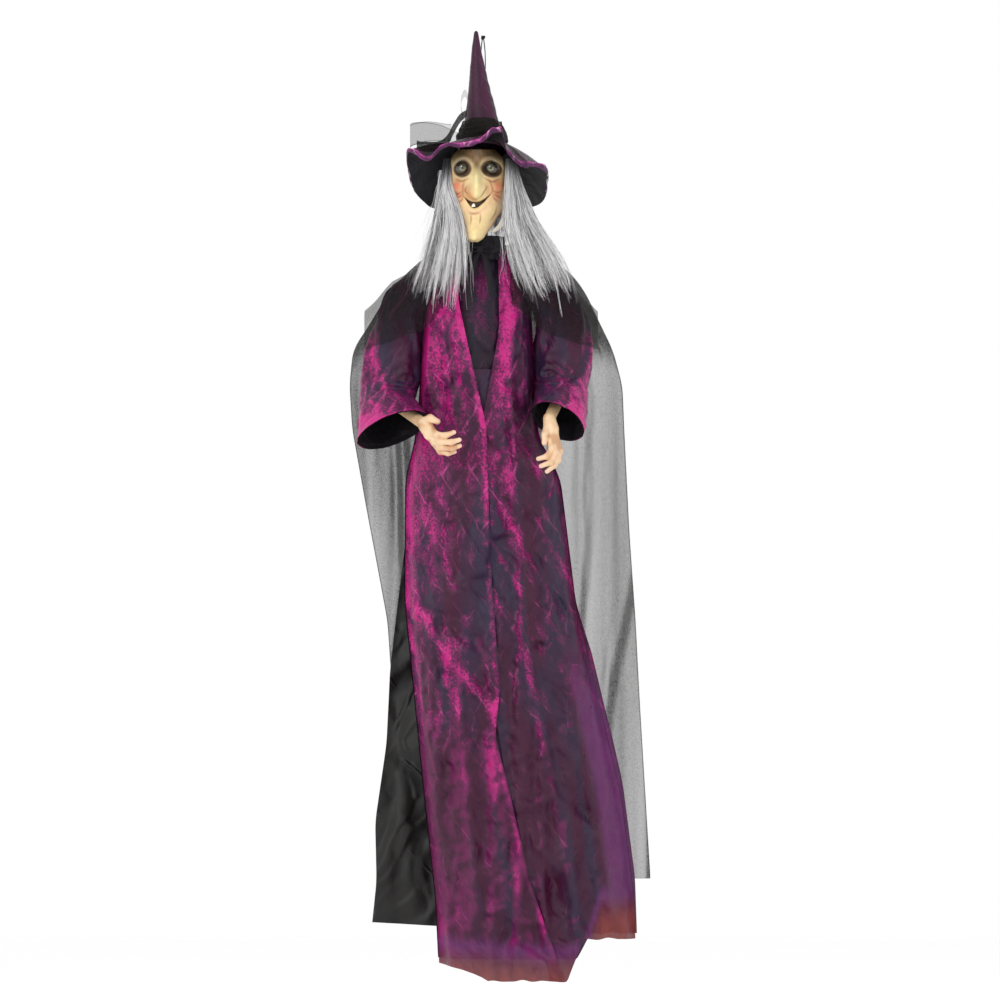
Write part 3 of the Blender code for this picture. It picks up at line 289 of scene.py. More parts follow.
def cloth_piece(name, points, finish, wrap=False, **values):
    """A cloth object from a grid of points."""
    rows, columns = points.shape[:2]
    values.setdefault("grain", 1.0)
    values.setdefault("warm", 0.0)
    flat = {key: np.broadcast_to(value, (rows, columns)).ravel() for key, value in values.items()}
    return piece(name, points.reshape(-1, 3), grid_faces(rows, columns, wrap), finish,
                 cloth=cloth_metres(points), **flat)

def lay_on(base, shape, layers):
    """Colours of a shape painted over in turn: each layer is a share from 0 to 1 and a screen colour."""
    colour = np.broadcast_to(linear(base), shape)
    for share, paint in layers:
        colour = colour + (linear(paint) - colour) * np.clip(share, 0.0, 1.0)[..., None]
    return colour.reshape(-1, 3)


def painted_piece(name, points, finish, base, layers=(), wrap=False):
    """An object from a grid of points, in a base colour with layers of paint."""
    return piece(name, points.reshape(-1, 3), grid_faces(*points.shape[:2], wrap), finish,
                 paint=lay_on(base, points.shape, layers))


def dress(made, body=None, node=None):
    """Gives a piece the body that it rides on and the CAD node that it replaces."""
    if body:
        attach(made, body)
    if node:
        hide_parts(node)
    return made


# ---- materials ------------------------------------------------------------------------------
class Finish:
    """One Principled material and the nodes that feed it."""

    def __init__(self, name, cloth=True, **settings):
        self.material = bpy.data.materials.new(name)
        self.material.use_nodes = True
        self.tree = self.material.node_tree
        self.shader = self.tree.nodes["Principled BSDF"]
        for key, value in settings.items():
            self.shader.inputs[key.replace("_", " ")].default_value = value
        if cloth:
            self.place = self.node("UVMap", uv_map="cloth").outputs["UV"]
        else:
            self.place = self.node("TexCoord").outputs["Object"]

    def node(self, kind, inputs=None, **settings):
        """A node with its settings, its inputs joined to outputs or set to numbers and colours."""
        made = self.tree.nodes.new("ShaderNode" + kind)
        for key, value in settings.items():
            setattr(made, key, value)
        for key, value in (inputs or {}).items():
            self.feed(made.inputs[key], value)
        return made

    def feed(self, socket, value):
        if isinstance(value, bpy.types.NodeSocket):
            self.tree.links.new(value, socket)
        else:
            socket.default_value = value

    def into(self, name, value):
        self.feed(self.shader.inputs[name], value)

    def mapped(self, stretch=(1.0, 1.0, 1.0), slant=0.0, place=None):
        """The place on the piece, stretched and then turned by a slant."""
        place = self.place if place is None else place
        settings = {"Vector": place, "Rotation": (0.0, 0.0, slant), "Scale": stretch}
        return self.node("Mapping", settings).outputs["Vector"]

    def noise(self, scale, detail=3.0, stretch=(1.0, 1.0, 1.0), slant=0.0, place=None):
        settings = {"Vector": self.mapped(stretch, slant, place), "Scale": scale, "Detail": detail}
        return self.node("TexNoise", settings).outputs[0]

    def threads(self, spacing, direction):
        """Ribs that run across the direction, spacing metres apart."""
        settings = {"Vector": self.place, "Scale": WAVE_METRES / spacing, "Distortion": 0.6}
        return self.node("TexWave", settings, bands_direction=direction).outputs["Fac"]

    def net(self, cell):
        """1 on the threads of a fine net, 0 in its holes."""
        settings = {"Vector": self.place, "Scale": 1.0 / cell}
        far = self.node("TexVoronoi", settings, feature="DISTANCE_TO_EDGE").outputs["Distance"]
        return self.fit(far, 0.16, 0.06)

    def value(self, name):
        return self.node("Attribute", attribute_name=name).outputs["Fac"]

    def colour(self, name):
        return self.node("Attribute", attribute_name=name).outputs["Color"]

    def fit(self, value, low, high, to_low=0.0, to_high=1.0):
        """A value from low to high, fitted to to_low to to_high."""
        settings = {"Value": value, "From Min": low, "From Max": high, "To Min": to_low, "To Max": to_high}
        return self.node("MapRange", settings).outputs["Result"]

    def maths(self, operation, first, second):
        return self.node("Math", {0: first, 1: second}, operation=operation).outputs["Value"]

    def add(self, first, second):
        return self.maths("ADD", first, second)

    def times(self, first, second):
        return self.maths("MULTIPLY", first, second)

    def mix(self, share, first, second):
        """The first colour at share 0 and the second at share 1; a plain colour is a screen colour."""
        first, second = (rgba(one) if isinstance(one, tuple) else one for one in (first, second))
        return self.node("Mix", {0: share, 6: first, 7: second}, data_type="RGBA").outputs[2]

    def creases(self, spacing, sharp=0.94):
        """Thin slanting ridges, 1 on their crests: wandering bands, shown only here and there."""
        lines = []
        for slant, apart in ((0.7, spacing), (-0.42, 1.35 * spacing)):
            settings = {"Vector": self.mapped(slant=slant), "Scale": WAVE_METRES / apart, "Distortion": 3.4,
                        "Detail": 2.0, "Detail Scale": 1.2}
            bands = self.node("TexWave", settings, bands_direction="X").outputs["Fac"]
            shown = self.fit(self.noise(1.2 / apart, 2.0, (1.0, 0.5, 1.0), slant), 0.5, 0.66)
            lines.append(self.times(self.fit(bands, sharp, 1.0), shown))
        return self.maths("MAXIMUM", *lines)

    def bump(self, height, depth, strength, under=None):
        settings = {"Distance": depth, "Strength": strength, "Height": height}
        if under is not None:
            settings["Normal"] = under
        return self.node("Bump", settings).outputs["Normal"]


WAVE_METRES = 0.314  # a wave texture's scale for bands one metre apart


def organza(name, slate, wine, magenta, hot, glint, creased):
    """Shot organza: dark in its hollows, and magenta and grainy on its slopes as painted sheen, with painted
    glints along its creases; sheer where unlined.
    """
    cloth = Finish(name, Roughness=0.4, Specular_IOR_Level=0.28, Sheen_Weight=0.05, Sheen_Roughness=0.4,
                   Sheen_Tint=rgba(glint))
    zone = cloth.add(cloth.noise(13.0, 3.0, (1.0, 0.16, 1.0)), cloth.value("warm"))
    grain = cloth.noise(210.0, 3.0, (1.0, 0.8, 1.0))
    streak = cloth.noise(46.0, 5.0, (1.0, 0.22, 1.0))
    # Painted sheen: a grainy speckle of painted sparkle, soft vertical streaks and slanting streaks of
    # painted light on the folds add to the point value that sets how magenta the cloth reads.
    coarse = cloth.fit(grain, 0.32, 0.68, -0.34, 0.34)
    specks = cloth.add(coarse, cloth.fit(cloth.noise(620.0, 2.0), 0.3, 0.7, -0.16, 0.16))
    lively = cloth.fit(cloth.value("grain"), 0.2, 1.0, 0.45, 1.0)
    streaky = cloth.times(cloth.fit(streak, 0.3, 0.7, -0.32, 0.26), lively)
    folds = cloth.noise(24.0, 3.0, (1.0, 0.16, 1.0), place=cloth.mapped(slant=0.52))
    slanting = cloth.times(cloth.fit(folds, 0.45, 0.62, -0.08, 0.2), cloth.value("grain"))
    base = cloth.add(cloth.add(cloth.value("shot"), streaky), slanting)
    grainy = cloth.times(specks, cloth.fit(base, -0.1, 0.45, 0.2, 1.0))
    shot = cloth.add(base, cloth.times(grainy, cloth.value("grain")))
    colour = cloth.mix(cloth.fit(zone, 0.42, 0.58), slate, wine)
    # Painted sheen: magenta, then hot pink, over the slate or wine ground where the sheen value is high.
    colour = cloth.mix(cloth.fit(shot, 0.05, 0.55), colour, magenta)
    colour = cloth.mix(cloth.fit(shot, 0.5, 1.0), colour, hot)
    # Painted highlights: pale pink glints along the crease crests, stronger where the painted sheen is
    # strong; the last argument sets how strong they are.
    crease = cloth.creases(0.034)
    lit = cloth.times(crease, cloth.fit(shot, -0.1, 0.6, 0.12 * creased, creased))
    colour = cloth.mix(cloth.times(lit, lively), colour, glint)
    cloth.into("Base Color", hem_colours(cloth, colour, streak))
    cloth.into("Alpha", cloth.fit(cloth.value("sheer"), 0.0, 1.0, 1.0, 0.97))
    weave = cloth.add(cloth.threads(0.0011, "X"), cloth.threads(0.0011, "Y"))
    relief = cloth.bump(grain, 0.0022, 0.55, cloth.bump(weave, 0.00018, 0.35))
    cloth.into("Normal", cloth.bump(crease, 0.0012, 0.6, relief))
    return cloth.material


def hem_colours(cloth, colour, streak):
    """Unlined organza turns purple along the side, and maroon and then rust towards the hem."""
    sheer = cloth.value("sheer")
    thin = cloth.mix(streak, (84, 36, 88), (124, 50, 116))
    maroon = cloth.mix(streak, (76, 24, 42), (110, 38, 54))
    rust = cloth.mix(streak, (74, 26, 40), (150, 66, 56))
    colour = cloth.mix(cloth.fit(sheer, 0.0, 0.45, 0.0, 0.65), colour, thin)
    colour = cloth.mix(cloth.fit(sheer, 0.46, 0.72, 0.0, 0.85), colour, maroon)
    return cloth.mix(cloth.fit(sheer, 0.7, 1.0, 0.0, 0.9), colour, rust)


def lining(name, colour, sheen):
    """Plain dark lining satin, faintly creased."""
    cloth = Finish(name, Roughness=0.55, Specular_IOR_Level=0.2, Sheen_Weight=0.04)
    cloth.into("Base Color", cloth.mix(cloth.noise(25.0, 4.0), colour, sheen))
    ribs = cloth.bump(cloth.threads(0.0012, "Y"), 0.00015, 0.4)
    cloth.into("Normal", cloth.bump(cloth.noise(70.0, 5.0, (1.0, 0.5, 1.0)), 0.002, 0.7, ribs))
    return cloth.material


def tulle(name, colour, low, high):
    """Fine net: its point value cover, 0 to 1, says how closely its threads lie."""
    cloth = Finish(name, Roughness=0.75, Specular_IOR_Level=0.1)
    cloth.into("Base Color", cloth.mix(cloth.noise(9.0, 3.0, (1.0, 0.2, 1.0)), colour, (38, 35, 32)))
    thread = cloth.fit(cloth.net(0.0016), 0.0, 1.0, 0.82, 1.18)
    cover = cloth.fit(cloth.value("cover"), 0.0, 1.0, low, high)
    cloth.into("Alpha", cloth.fit(cloth.times(cover, thread), 0.0, 1.0))
    return cloth.material


def taffeta():
    """Black taffeta: soft broad sheen, fine cross ribs and pressed creases."""
    cloth = Finish("black_taffeta", Roughness=0.4, Specular_IOR_Level=0.35, Sheen_Weight=0.04,
                   Sheen_Roughness=0.5)
    cloth.into("Base Color", cloth.mix(cloth.noise(14.0, 5.0, (1.0, 0.6, 1.0)), (13, 12, 12), (30, 27, 25)))
    ribs = cloth.bump(cloth.threads(0.0012, "Y"), 0.0002, 0.5)
    relief = cloth.bump(cloth.noise(55.0, 5.0), 0.002, 0.5, ribs)
    cloth.into("Normal", cloth.bump(cloth.creases(0.11, 0.98), 0.004, 0.8, relief))
    return cloth.material


def hair_finish():
    """White and grey fibre, each strand its own shade, darker towards its root as painted shadow, with a
    soft shine along it.
    """
    fibre = Finish("hair", cloth=False, Roughness=0.42, Specular_IOR_Level=0.5, Sheen_Weight=0.15)
    shade = fibre.value("shade")
    tone = fibre.mix(fibre.fit(shade, 0.0, 0.4), (44, 40, 42), (184, 181, 184))
    tone = fibre.mix(fibre.fit(shade, 0.4, 0.85), tone, (255, 255, 255))
    uneven = fibre.fit(fibre.noise(30.0, 3.0), 0.3, 0.7, 0.0, 0.16)
    fibre.into("Base Color", fibre.mix(uneven, tone, (150, 147, 150)))
    fibre.into("Normal", fibre.bump(fibre.noise(900.0, 2.0, (1.0, 1.0, 0.1)), 0.0002, 0.5))
    return fibre.material


def vinyl(name, roughness, grain):
    """Painted soft vinyl: colours come from the point colour paint."""
    skin = Finish(name, cloth=False, Roughness=roughness, Coat_Weight=0.12, Coat_Roughness=0.3,
                  Subsurface_Weight=0.08, Subsurface_Scale=0.01)
    blotches = skin.fit(skin.noise(70.0, 5.0), 0.35, 0.65, 0.0, 0.22)
    mottle = skin.mix(blotches, skin.colour("paint"), (188, 134, 92))
    clean = skin.fit(skin.noise(260.0, 3.0), 0.5, 0.75, 0.0, 0.25)
    skin.into("Base Color", skin.mix(clean, mottle, skin.colour("paint")))
    skin.into("Roughness", skin.fit(skin.noise(90.0, 3.0), 0.3, 0.7, roughness - 0.08, roughness + 0.12))
    pores = skin.bump(skin.noise(1400.0, 2.0), 0.00012, 0.5)
    skin.into("Normal", skin.bump(skin.noise(170.0, 4.0), 0.0004 * grain, 0.6, pores))
    return skin.material


def hard(name, colour, worn, roughness, metallic=0.0, texture=240.0, depth=0.00015):
    """Moulded plastic or metal: two close shades, uneven gloss and a fine surface."""
    solid = Finish(name, cloth=False, Metallic=metallic)
    solid.into("Base Color", solid.mix(solid.fit(solid.noise(60.0, 5.0), 0.35, 0.7), colour, worn))
    solid.into("Roughness", solid.fit(solid.noise(110.0, 4.0), 0.3, 0.7, roughness - 0.08, roughness + 0.1))
    solid.into("Normal", solid.bump(solid.noise(texture, 3.0), depth, 0.6))
    return solid.material


def braid():
    """Black braided cord."""
    line = Finish("cord", cloth=False, Roughness=0.7)
    line.into("Base Color", line.mix(line.noise(700.0, 2.0), (14, 14, 15), (44, 43, 44)))
    twist = line.node("TexWave", {"Vector": line.place, "Scale": 260.0}, bands_direction="DIAGONAL")
    line.into("Normal", line.bump(twist.outputs["Fac"], 0.0004, 0.8))
    return line.material


def painted(name, roughness, coat):
    """Glossy painted parts whose colours are in the point colour paint: eyes and teeth."""
    gloss = Finish(name, cloth=False, Roughness=roughness, Coat_Weight=coat, Coat_Roughness=0.05)
    dull = gloss.fit(gloss.noise(400.0, 4.0), 0.4, 0.7, 0.0, 0.3)
    gloss.into("Base Color", gloss.mix(dull, gloss.colour("paint"), (120, 112, 90)))
    gloss.into("Normal", gloss.bump(gloss.noise(500.0, 2.0), 0.00006, 0.4))
    return gloss.material


MAGENTA = organza("magenta_organza", (44, 30, 56), (60, 12, 44), (108, 19, 80), (190, 32, 122),
                  (214, 86, 158), 0.55)
PLUM = organza("plum_satin", (26, 17, 36), (38, 10, 32), (78, 16, 62), (130, 26, 92), (150, 66, 122), 0.4)
PURPLE = organza("hat_cloth", (30, 21, 34), (50, 16, 40), (76, 20, 58), (124, 36, 96), (190, 100, 160), 0.25)
PIPING = organza("brim_edge", (62, 24, 60), (80, 24, 68), (124, 38, 108), (188, 72, 148),
                 (244, 186, 224), 0.9)
SLATE = lining("slate_lining", (28, 18, 36), (46, 30, 52))
BLACK = lining("black_lining", (13, 12, 16), (30, 27, 34))
NET = tulle("black_tulle", (15, 14, 15), 0.3, 0.97)
TAFFETA = taffeta()
HAIR = hair_finish()
MASK = vinyl("mask_skin", 0.42, 1.0)
SKIN = vinyl("hand_skin", 0.45, 0.7)
GLOSS = painted("painted_gloss", 0.12, 0.8)


# ---- the hanging cord -----------------------------------------------------------------------
CORD_RADIUS = 0.0012
CORD_SIDE = ((0.0017, 0.0008), (0.003, -0.01), (0.0046, -0.026), (0.0052, -0.045), (0.0048, -0.09),
             (0.0048, -0.15), (0.0048, -0.205), (0.0048, -0.241))
KNOT_Z = 0.005


def curve(name, points, radius, finish, closed=False):
    """A round line through the points, capped at its ends or closed."""
    data = bpy.data.curves.new(name, "CURVE")
    data.dimensions = "3D"
    data.bevel_depth = radius
    data.bevel_resolution = 3
    data.use_fill_caps = True
    line = data.splines.new("POLY")
    line.points.add(len(points) - 1)
    for point, place in zip(line.points, points):
        point.co = (*place, 1.0)
    line.use_cyclic_u = closed
    data.materials.append(finish)
    made = bpy.data.objects.new(name, data)
    bpy.context.scene.collection.objects.link(made)
    return made


def hanging_cord():
    """Down from the knot, round the steel eye and back up, and the knot that joins the ends."""
    out, foot = CORD_SIDE[-1]
    route = [(-x, 0.0, z) for x, z in CORD_SIDE]
    for turn in (math.pi + math.pi * step / 6 for step in range(1, 6)):
        route.append((out * math.cos(turn), 0.0, foot + out * math.sin(turn)))
    route += [(x, 0.0, z) for x, z in reversed(CORD_SIDE)]
    loops = []
    for turn in (TURN * step / 90 for step in range(90)):
        out = 0.0026 + 0.0015 * math.cos(3 * turn)
        loops.append((out * math.cos(2 * turn), 0.0015 * math.sin(3 * turn) + out * 0.6 * math.sin(2 * turn),
                      KNOT_Z + 0.0036 * math.sin(3 * turn + 0.6)))
    finish = braid()
    cord = dress(curve("hanging_cord", route, CORD_RADIUS, finish), "torso", "hang_cord")
    knot = dress(curve("cord_knot", loops, 0.0013, finish, True), "torso", "loop_knot")


# ---- robe and coat --------------------------------------------------------------------------
# Rows are (z, left x, right x) of an outline seen from the front.
ROBE = ((-0.462, -0.056, 0.046), (-0.49, -0.085, 0.07), (-0.575, -0.128, 0.104), (-0.735, -0.137, 0.112),
    (-0.8, -0.14, 0.115), (-0.88, -0.148, 0.122), (-0.93, -0.16, 0.15), (-0.973, -0.17, 0.17),
    (-1.24, -0.172, 0.203), (-1.459, -0.15, 0.255), (-1.68, -0.128, 0.306), (-1.9, -0.104, 0.334),
    (-2.078, -0.095, 0.34))
COAT_LEFT_INNER = ((-0.462, -0.04), (-0.49, -0.05), (-0.575, -0.055), (-0.862, 0.009), (-1.149, 0.016),
    (-1.437, 0.038), (-1.54, 0.027), (-1.636, 0.053), (-1.857, 0.104), (-2.078, 0.18))
COAT_RIGHT_INNER = ((-0.462, 0.03), (-0.49, 0.034), (-0.641, 0.036), (-0.73, 0.02), (-0.862, -0.005),
    (-1.149, -0.002), (-1.437, 0.02), (-1.857, 0.085), (-2.078, 0.15))
FRONT_DEPTH = ((-2.078, 0.1), (-1.2, 0.092), (-0.64, 0.082), (-0.56, 0.072), (-0.49, 0.05), (-0.462, 0.048))
FRONT_CURVE = ((-0.9, 0.9), (-0.62, 0.58))
BACK_DEPTH = ((-2.078, 0.084), (-0.64, 0.082), (-0.56, 0.074), (-0.49, 0.056), (-0.462, 0.05))
BACK_CURVE = ((-0.9, 0.9), (-0.62, 0.72))
# (x, z) along the ragged hem of the organza, and along the higher hem of its lining.
HEM = ((-0.1, -2.04), (0, -2.068), (0.012, -2.078), (0.186, -2.078), (0.228, -2.005), (0.24, -1.985),
    (0.345, -1.985))
LINING_HEM = ((-0.1, -1.985), (0.06, -2), (0.22, -2.004), (0.232, -1.96), (0.262, -1.875), (0.345, -1.87))
LAYER = 0.006
LINING_GAP = 0.0016
SIDE_SEAM_Y = 0.001
FRONT_SEED = 45
NECK_Z, WAIST_Z, SKIRT_TOP_Z, SKIRT_FOOT_Z = -0.466, -0.735, -0.728, -2.03
# Height, half width and (z, x) line of the folds that show one by one.
FOLDS = ((0.011, 0.013, ((-1.24, -0.15), (-1.37, -0.073), (-1.49, 0.026))), (0.009, 0.012, ((-1.02, -0.09),
    (-1.2, -0.11), (-1.45, -0.118), (-1.75, -0.09), (-2.06, -0.07))), (0.009, 0.011, ((-1.4, -0.05),
    (-1.6, -0.04), (-1.85, -0.015), (-2.07, 0.02))), (0.008, 0.01, ((-1.55, 0.085), (-1.75, 0.11),
    (-2.06, 0.16))), (0.01, 0.012, ((-0.8, 0.04), (-1.05, 0.07), (-1.35, 0.095), (-1.7, 0.165),
    (-2, 0.215))), (0.009, 0.011, ((-0.95, 0.12), (-1.25, 0.15), (-1.6, 0.225), (-1.95, 0.285))), (0.006,
    0.008, ((-0.56, -0.1), (-0.75, -0.075), (-0.92, -0.05))), (0.006, 0.008, ((-0.6, 0.07), (-0.78, 0.06),
    (-0.98, 0.085))))


def wrap_share(x, z):
    """0 at the middle of the robe's outline at height z, 1 at its edges."""
    left, right = at(ROBE, z), at(ROBE, z, 2)
    return np.clip(np.abs((2.0 * x - left - right) / (right - left)), 0.0, 1.0)


def drape(x, z):
    """How far the cloth stands out from the plain shape, in metres: the folds all layers share."""
    total = (0.0012 + 0.0045 * ramp(-0.75, -1.7, z)) * hang(x, z, 3)
    total = total + 0.0195 * facets(x / 0.075 + 0.6 * z / 0.11, z / 0.11, 11) * ramp(-0.5, -0.62, z)
    for height, width, line in FOLDS:
        low, high = min(line)[0], max(line)[0]
        shown = ramp(low - 0.04, low + 0.05, z) * ramp(high + 0.04, high - 0.05, z)
        total = total + height * shown * hump(x, at(line, z, 1, 0.06), width)
    return total


def front_y(x, z, layer):
    """How far back a front layer lies; its sides run in behind the layers over it at the side seams."""
    off = wrap_share(x, z)
    plain = at(FRONT_DEPTH, z) * (1.0 - at(FRONT_CURVE, z) * off ** 2.6)
    y = -plain - LAYER * layer - drape(x, z) * (1.0 - 0.7 * off ** 6)
    return y + (SIDE_SEAM_Y - 0.001 * (layer + 3.0) - y) * ramp(0.9, 1.0, off)


def back_y(x, z):
    """How far back the robe's back lies."""
    off = wrap_share(x, z)
    plain = at(BACK_DEPTH, z) * (1.0 - at(BACK_CURVE, z) * off ** 3) - 0.004
    y = plain + 0.8 * drape(x + 0.31, z) * (1.0 - 0.7 * off ** 6)
    return y + (SIDE_SEAM_Y - y) * ramp(0.9, 1.0, off)


def panel_places(left, right, top, foot, step=0.0042):
    """x and z of a panel's grid: its sides follow two outlines and its last row the hem."""
    lowest = float(np.min(foot(np.linspace(-0.1, 0.34, 40))))
    rows = int((top - lowest) / step)
    level = by_row(rows, top, lowest)
    columns = int(np.mean(right(level) - left(level)) / step) + 2
    share = np.linspace(0.0, 1.0, columns)
    x = left(level) + (right(level) - left(level)) * share
    z = top + (level - top) * (foot(x) - top) / (lowest - top)
    return left(z) + (right(z) - left(z)) * share, z


def hem_z(x):
    """Height of the organza's ragged hem."""
    return follow(HEM, x) + 0.003 * noise(x / 0.022, 0.0, 81)


def skirt_hem_z(x):
    return np.maximum(hem_z(x) + 0.012, SKIRT_FOOT_Z)


def lining_z(x):
    return follow(LINING_HEM, x)


def shot_value(points, bias, facing=1.0):
    """How magenta the cloth reads, as painted sheen: more on slopes that face up and to the side."""
    way = normals(points)
    return 0.12 - 0.34 * facing * way[..., 0] + 0.5 * way[..., 2] + 0.22 * np.abs(way[..., 0]) + bias


def own_crumple(x, z, seed):
    """The finer creases, flat at the side seams; the layers of the front share them."""
    height = 0.0006 * noise(x / 0.01, z / 0.012, seed + 3) + 0.75 * crumple(x, z, seed, 0.034, 0.4)
    return height * (1.0 - 0.85 * ramp(0.9, 1.0, wrap_share(x, z)))


def robe_panel(name, node, sides, top, foot, layer, bias, finish, crinkle=1.0, sheer=None):
    """A front panel between two outlines, at its place in the order of layers."""
    x, z = panel_places(*sides, top, foot)
    points = join(x, front_y(x, z, layer) - crinkle * own_crumple(x, z, FRONT_SEED), z)
    made = cloth_piece(name, points, finish, shot=shot_value(points, bias(x, z)),
                       sheer=sheer(x, z) if sheer else 0.0, grain=0.2 + 0.8 * ramp(-1.62, -1.45, z),
                       warm=0.03 + 0.1 * ramp(-1.4, -1.65, z) * ramp(0.06, -0.02, x))
    dress(made, "torso", node)


def coat_left_bias(x, z):
    """Grainy magenta on the chest, then wine with a bright left border and a bright front edge, all as
    painted sheen, with painted highlights along two folds and painted shade near the neckline.
    """
    edge = hump(x, at(COAT_LEFT_INNER, z) - 0.006, 0.0065)
    border = ramp(0.042, 0.004, x - at(ROBE, z)) * ramp(-0.9, -1.0, z)
    border = border * (0.55 + 0.45 * ramp(-1.6, -1.4, z))
    by_height = follow(
        ((-2.0, -0.26), (-1.5, -0.2), (-1.1, -0.14), (-0.98, -0.05), (-0.9, 0.12), (-0.6, 0.16)), z)
    crest = hump(x, np.interp(z, (-1.49, -1.37, -1.24), (0.026, -0.073, -0.15)), 0.016)
    crest = crest * ramp(-1.52, -1.47, z) * ramp(-1.22, -1.28, z)
    lower = hump(x, np.interp(z, (-2.03, -1.8, -1.62, -1.5), (0.11, 0.062, 0.024, 0.014)), 0.016)
    lower = 0.42 * lower * ramp(-1.5, -1.58, z)
    dusk = 0.34 * ramp(-0.6, -0.5, z)
    patches = 0.2 * noise(x / 0.05, z / 0.16, 31) + 0.12 * noise(x / 0.02, z / 0.1, 32)
    return by_height + 0.55 * edge + 0.34 * border + 0.6 * crest + lower - dusk + patches


def coat_right_bias(x, z):
    """Magenta beside the bodice, then slate and wine with slanting magenta streaks, all as painted sheen,
    with a bright right border and band, and painted shade near the neckline.
    """
    edge = hump(x, at(COAT_RIGHT_INNER, z) + 0.022, 0.02) * ramp(-1.1, -0.9, z)
    border = ramp(0.034, 0.006, at(ROBE, z, 2) - x) * ramp(-0.95, -1.05, z)
    by_height = follow(
        ((-2.0, -0.34), (-1.5, -0.26), (-1.1, -0.14), (-0.9, -0.04), (-0.76, 0.12), (-0.58, 0.16)), z)
    band = hump(x, np.interp(z, (-1.9, -1.4, -1.0, -0.85), (0.21, 0.1, 0.065, 0.05)), 0.014)
    slant = hump(np.mod(x + 0.55 * z, 0.062), 0.031, 0.007) * ramp(-1.5, -1.25, z) * ramp(-0.8, -1.0, z)
    shown = ramp(-0.2, 0.5, noise(x / 0.05, z / 0.07, 36))
    dusk = 0.38 * ramp(-0.6, -0.5, z)
    patches = 0.16 * noise(x / 0.045, z / 0.2, 33) + 0.1 * noise(x / 0.02, z / 0.1, 34)
    return by_height + 0.22 * edge + 0.3 * border + 0.34 * band + 0.42 * slant * shown - dusk + patches


def coat_sheer(x, z):
    """0 where the coat is lined; past the lining's hem and along the right edge it is sheer."""
    ragged = lining_z(x) + 0.006 * noise(x / 0.02, z / 0.05, 38)
    low = 0.45 * ramp(ragged + 0.02, ragged - 0.012, z) + 0.55 * ramp(ragged, ragged - 0.085, z)
    side = 0.45 * ramp(0.062, 0.04, at(ROBE, z, 2) - x) * ramp(-1.3, -1.5, z)
    return np.maximum(low, side)


def outline(table, column=1, shift=0.0):
    """A column of an outline as a function of height."""
    return lambda z: at(table, z, column) + shift


def robe():
    """Bodice, skirt, and the coat's two fronts with their linings, each cut to its flat size."""
    left, right = outline(ROBE), outline(ROBE, 2)
    robe_panel("bodice_cloth", "bodice_front", (left, right), NECK_Z, lambda x: np.full_like(x, WAIST_Z), -2,
               lambda x, z: 0.4 * hump(x, -0.002, 0.016) * ramp(-0.7, -0.6, z) - 0.2,
               PLUM, 0.5)
    robe_panel("skirt_cloth", "skirt_front", (left, right), SKIRT_TOP_Z, skirt_hem_z, -1,
               lambda x, z: 0.16 * noise(x / 0.03, z / 0.16, 35) - 0.22,
               MAGENTA, 0.6)
    robe_panel("coat_left_cloth", "coat_left", (left, outline(COAT_LEFT_INNER)), NECK_Z, hem_z, 1,
               coat_left_bias, MAGENTA, 1.0, coat_sheer)
    robe_panel("coat_right_cloth", "coat_right", (outline(COAT_RIGHT_INNER), right), NECK_Z, hem_z, 0,
               coat_right_bias, MAGENTA, 1.0, coat_sheer)
    gap = LINING_GAP / LAYER
    robe_panel("coat_left_lining", None, (left, outline(COAT_LEFT_INNER, 1, -0.004)), NECK_Z - 0.002,
               lining_z, 1 - gap, lambda x, z: 0.0, SLATE)
    robe_panel("coat_right_lining", None, (outline(COAT_RIGHT_INNER, 1, 0.004), right), NECK_Z - 0.002,
               lining_z, -gap, lambda x, z: 0.0, SLATE)


def robe_back():
    """The back of the robe, one wide panel whose two outer columns each side lap the front's edge."""
    columns = 62
    z = by_row(300, NECK_Z, SKIRT_FOOT_Z)
    share = np.concatenate([[1.0, 1.0], np.linspace(1.0, 0.0, columns), [0.0, 0.0]])
    out, lap = np.zeros(columns + 4), np.zeros(columns + 4)
    out[:2], out[-2:] = 0.002, -0.002
    lap[0], lap[-1] = 0.007, 0.007
    x = at(ROBE, z) + (at(ROBE, z, 2) - at(ROBE, z)) * share + out
    z = NECK_Z + (z - NECK_Z) * (skirt_hem_z(x) - NECK_Z) / (SKIRT_FOOT_Z - NECK_Z)
    points = join(x, back_y(x, z) + own_crumple(x, z, 49) - lap, z)
    bias = np.interp(z, (-2.0, -1.3, -0.7), (-0.25, -0.1, 0.05)) + 0.12 * noise(x / 0.06, z / 0.2, 37)
    made = cloth_piece("robe_back_cloth", points, MAGENTA, shot=shot_value(points, bias, -1.0),
                       sheer=coat_sheer(x, z))
    dress(made, "torso", "robe_back")


# ---- cape and underskirt --------------------------------------------------------------------
CAPE = ((-0.45, -0.092, 0.104), (-0.508, -0.16, 0.19), (-0.553, -0.206, 0.226), (-0.685, -0.288, 0.288),
    (-0.763, -0.296, 0.309), (-0.862, -0.29, 0.313), (-1.083, -0.25, 0.324), (-1.282, -0.212, 0.338),
    (-1.459, -0.2, 0.347), (-1.857, -0.18, 0.371))
CAPE_DEPTH = ((-2, 0.112), (-0.64, 0.11), (-0.56, 0.092), (-0.5, 0.076), (-0.45, 0.064))
CAPE_FOOT = -1.857
CAPE_FLAT = (0.62, 1.42)
UNDERSKIRT = ((-1.11, -0.172), (-1.271, -0.192), (-1.393, -0.206), (-1.556, -0.214), (-1.729, -0.239),
    (-1.861, -0.236), (-1.966, -0.247))
UNDERSKIRT_RIGHT = 0.03
UNDERSKIRT_Y = 0.087


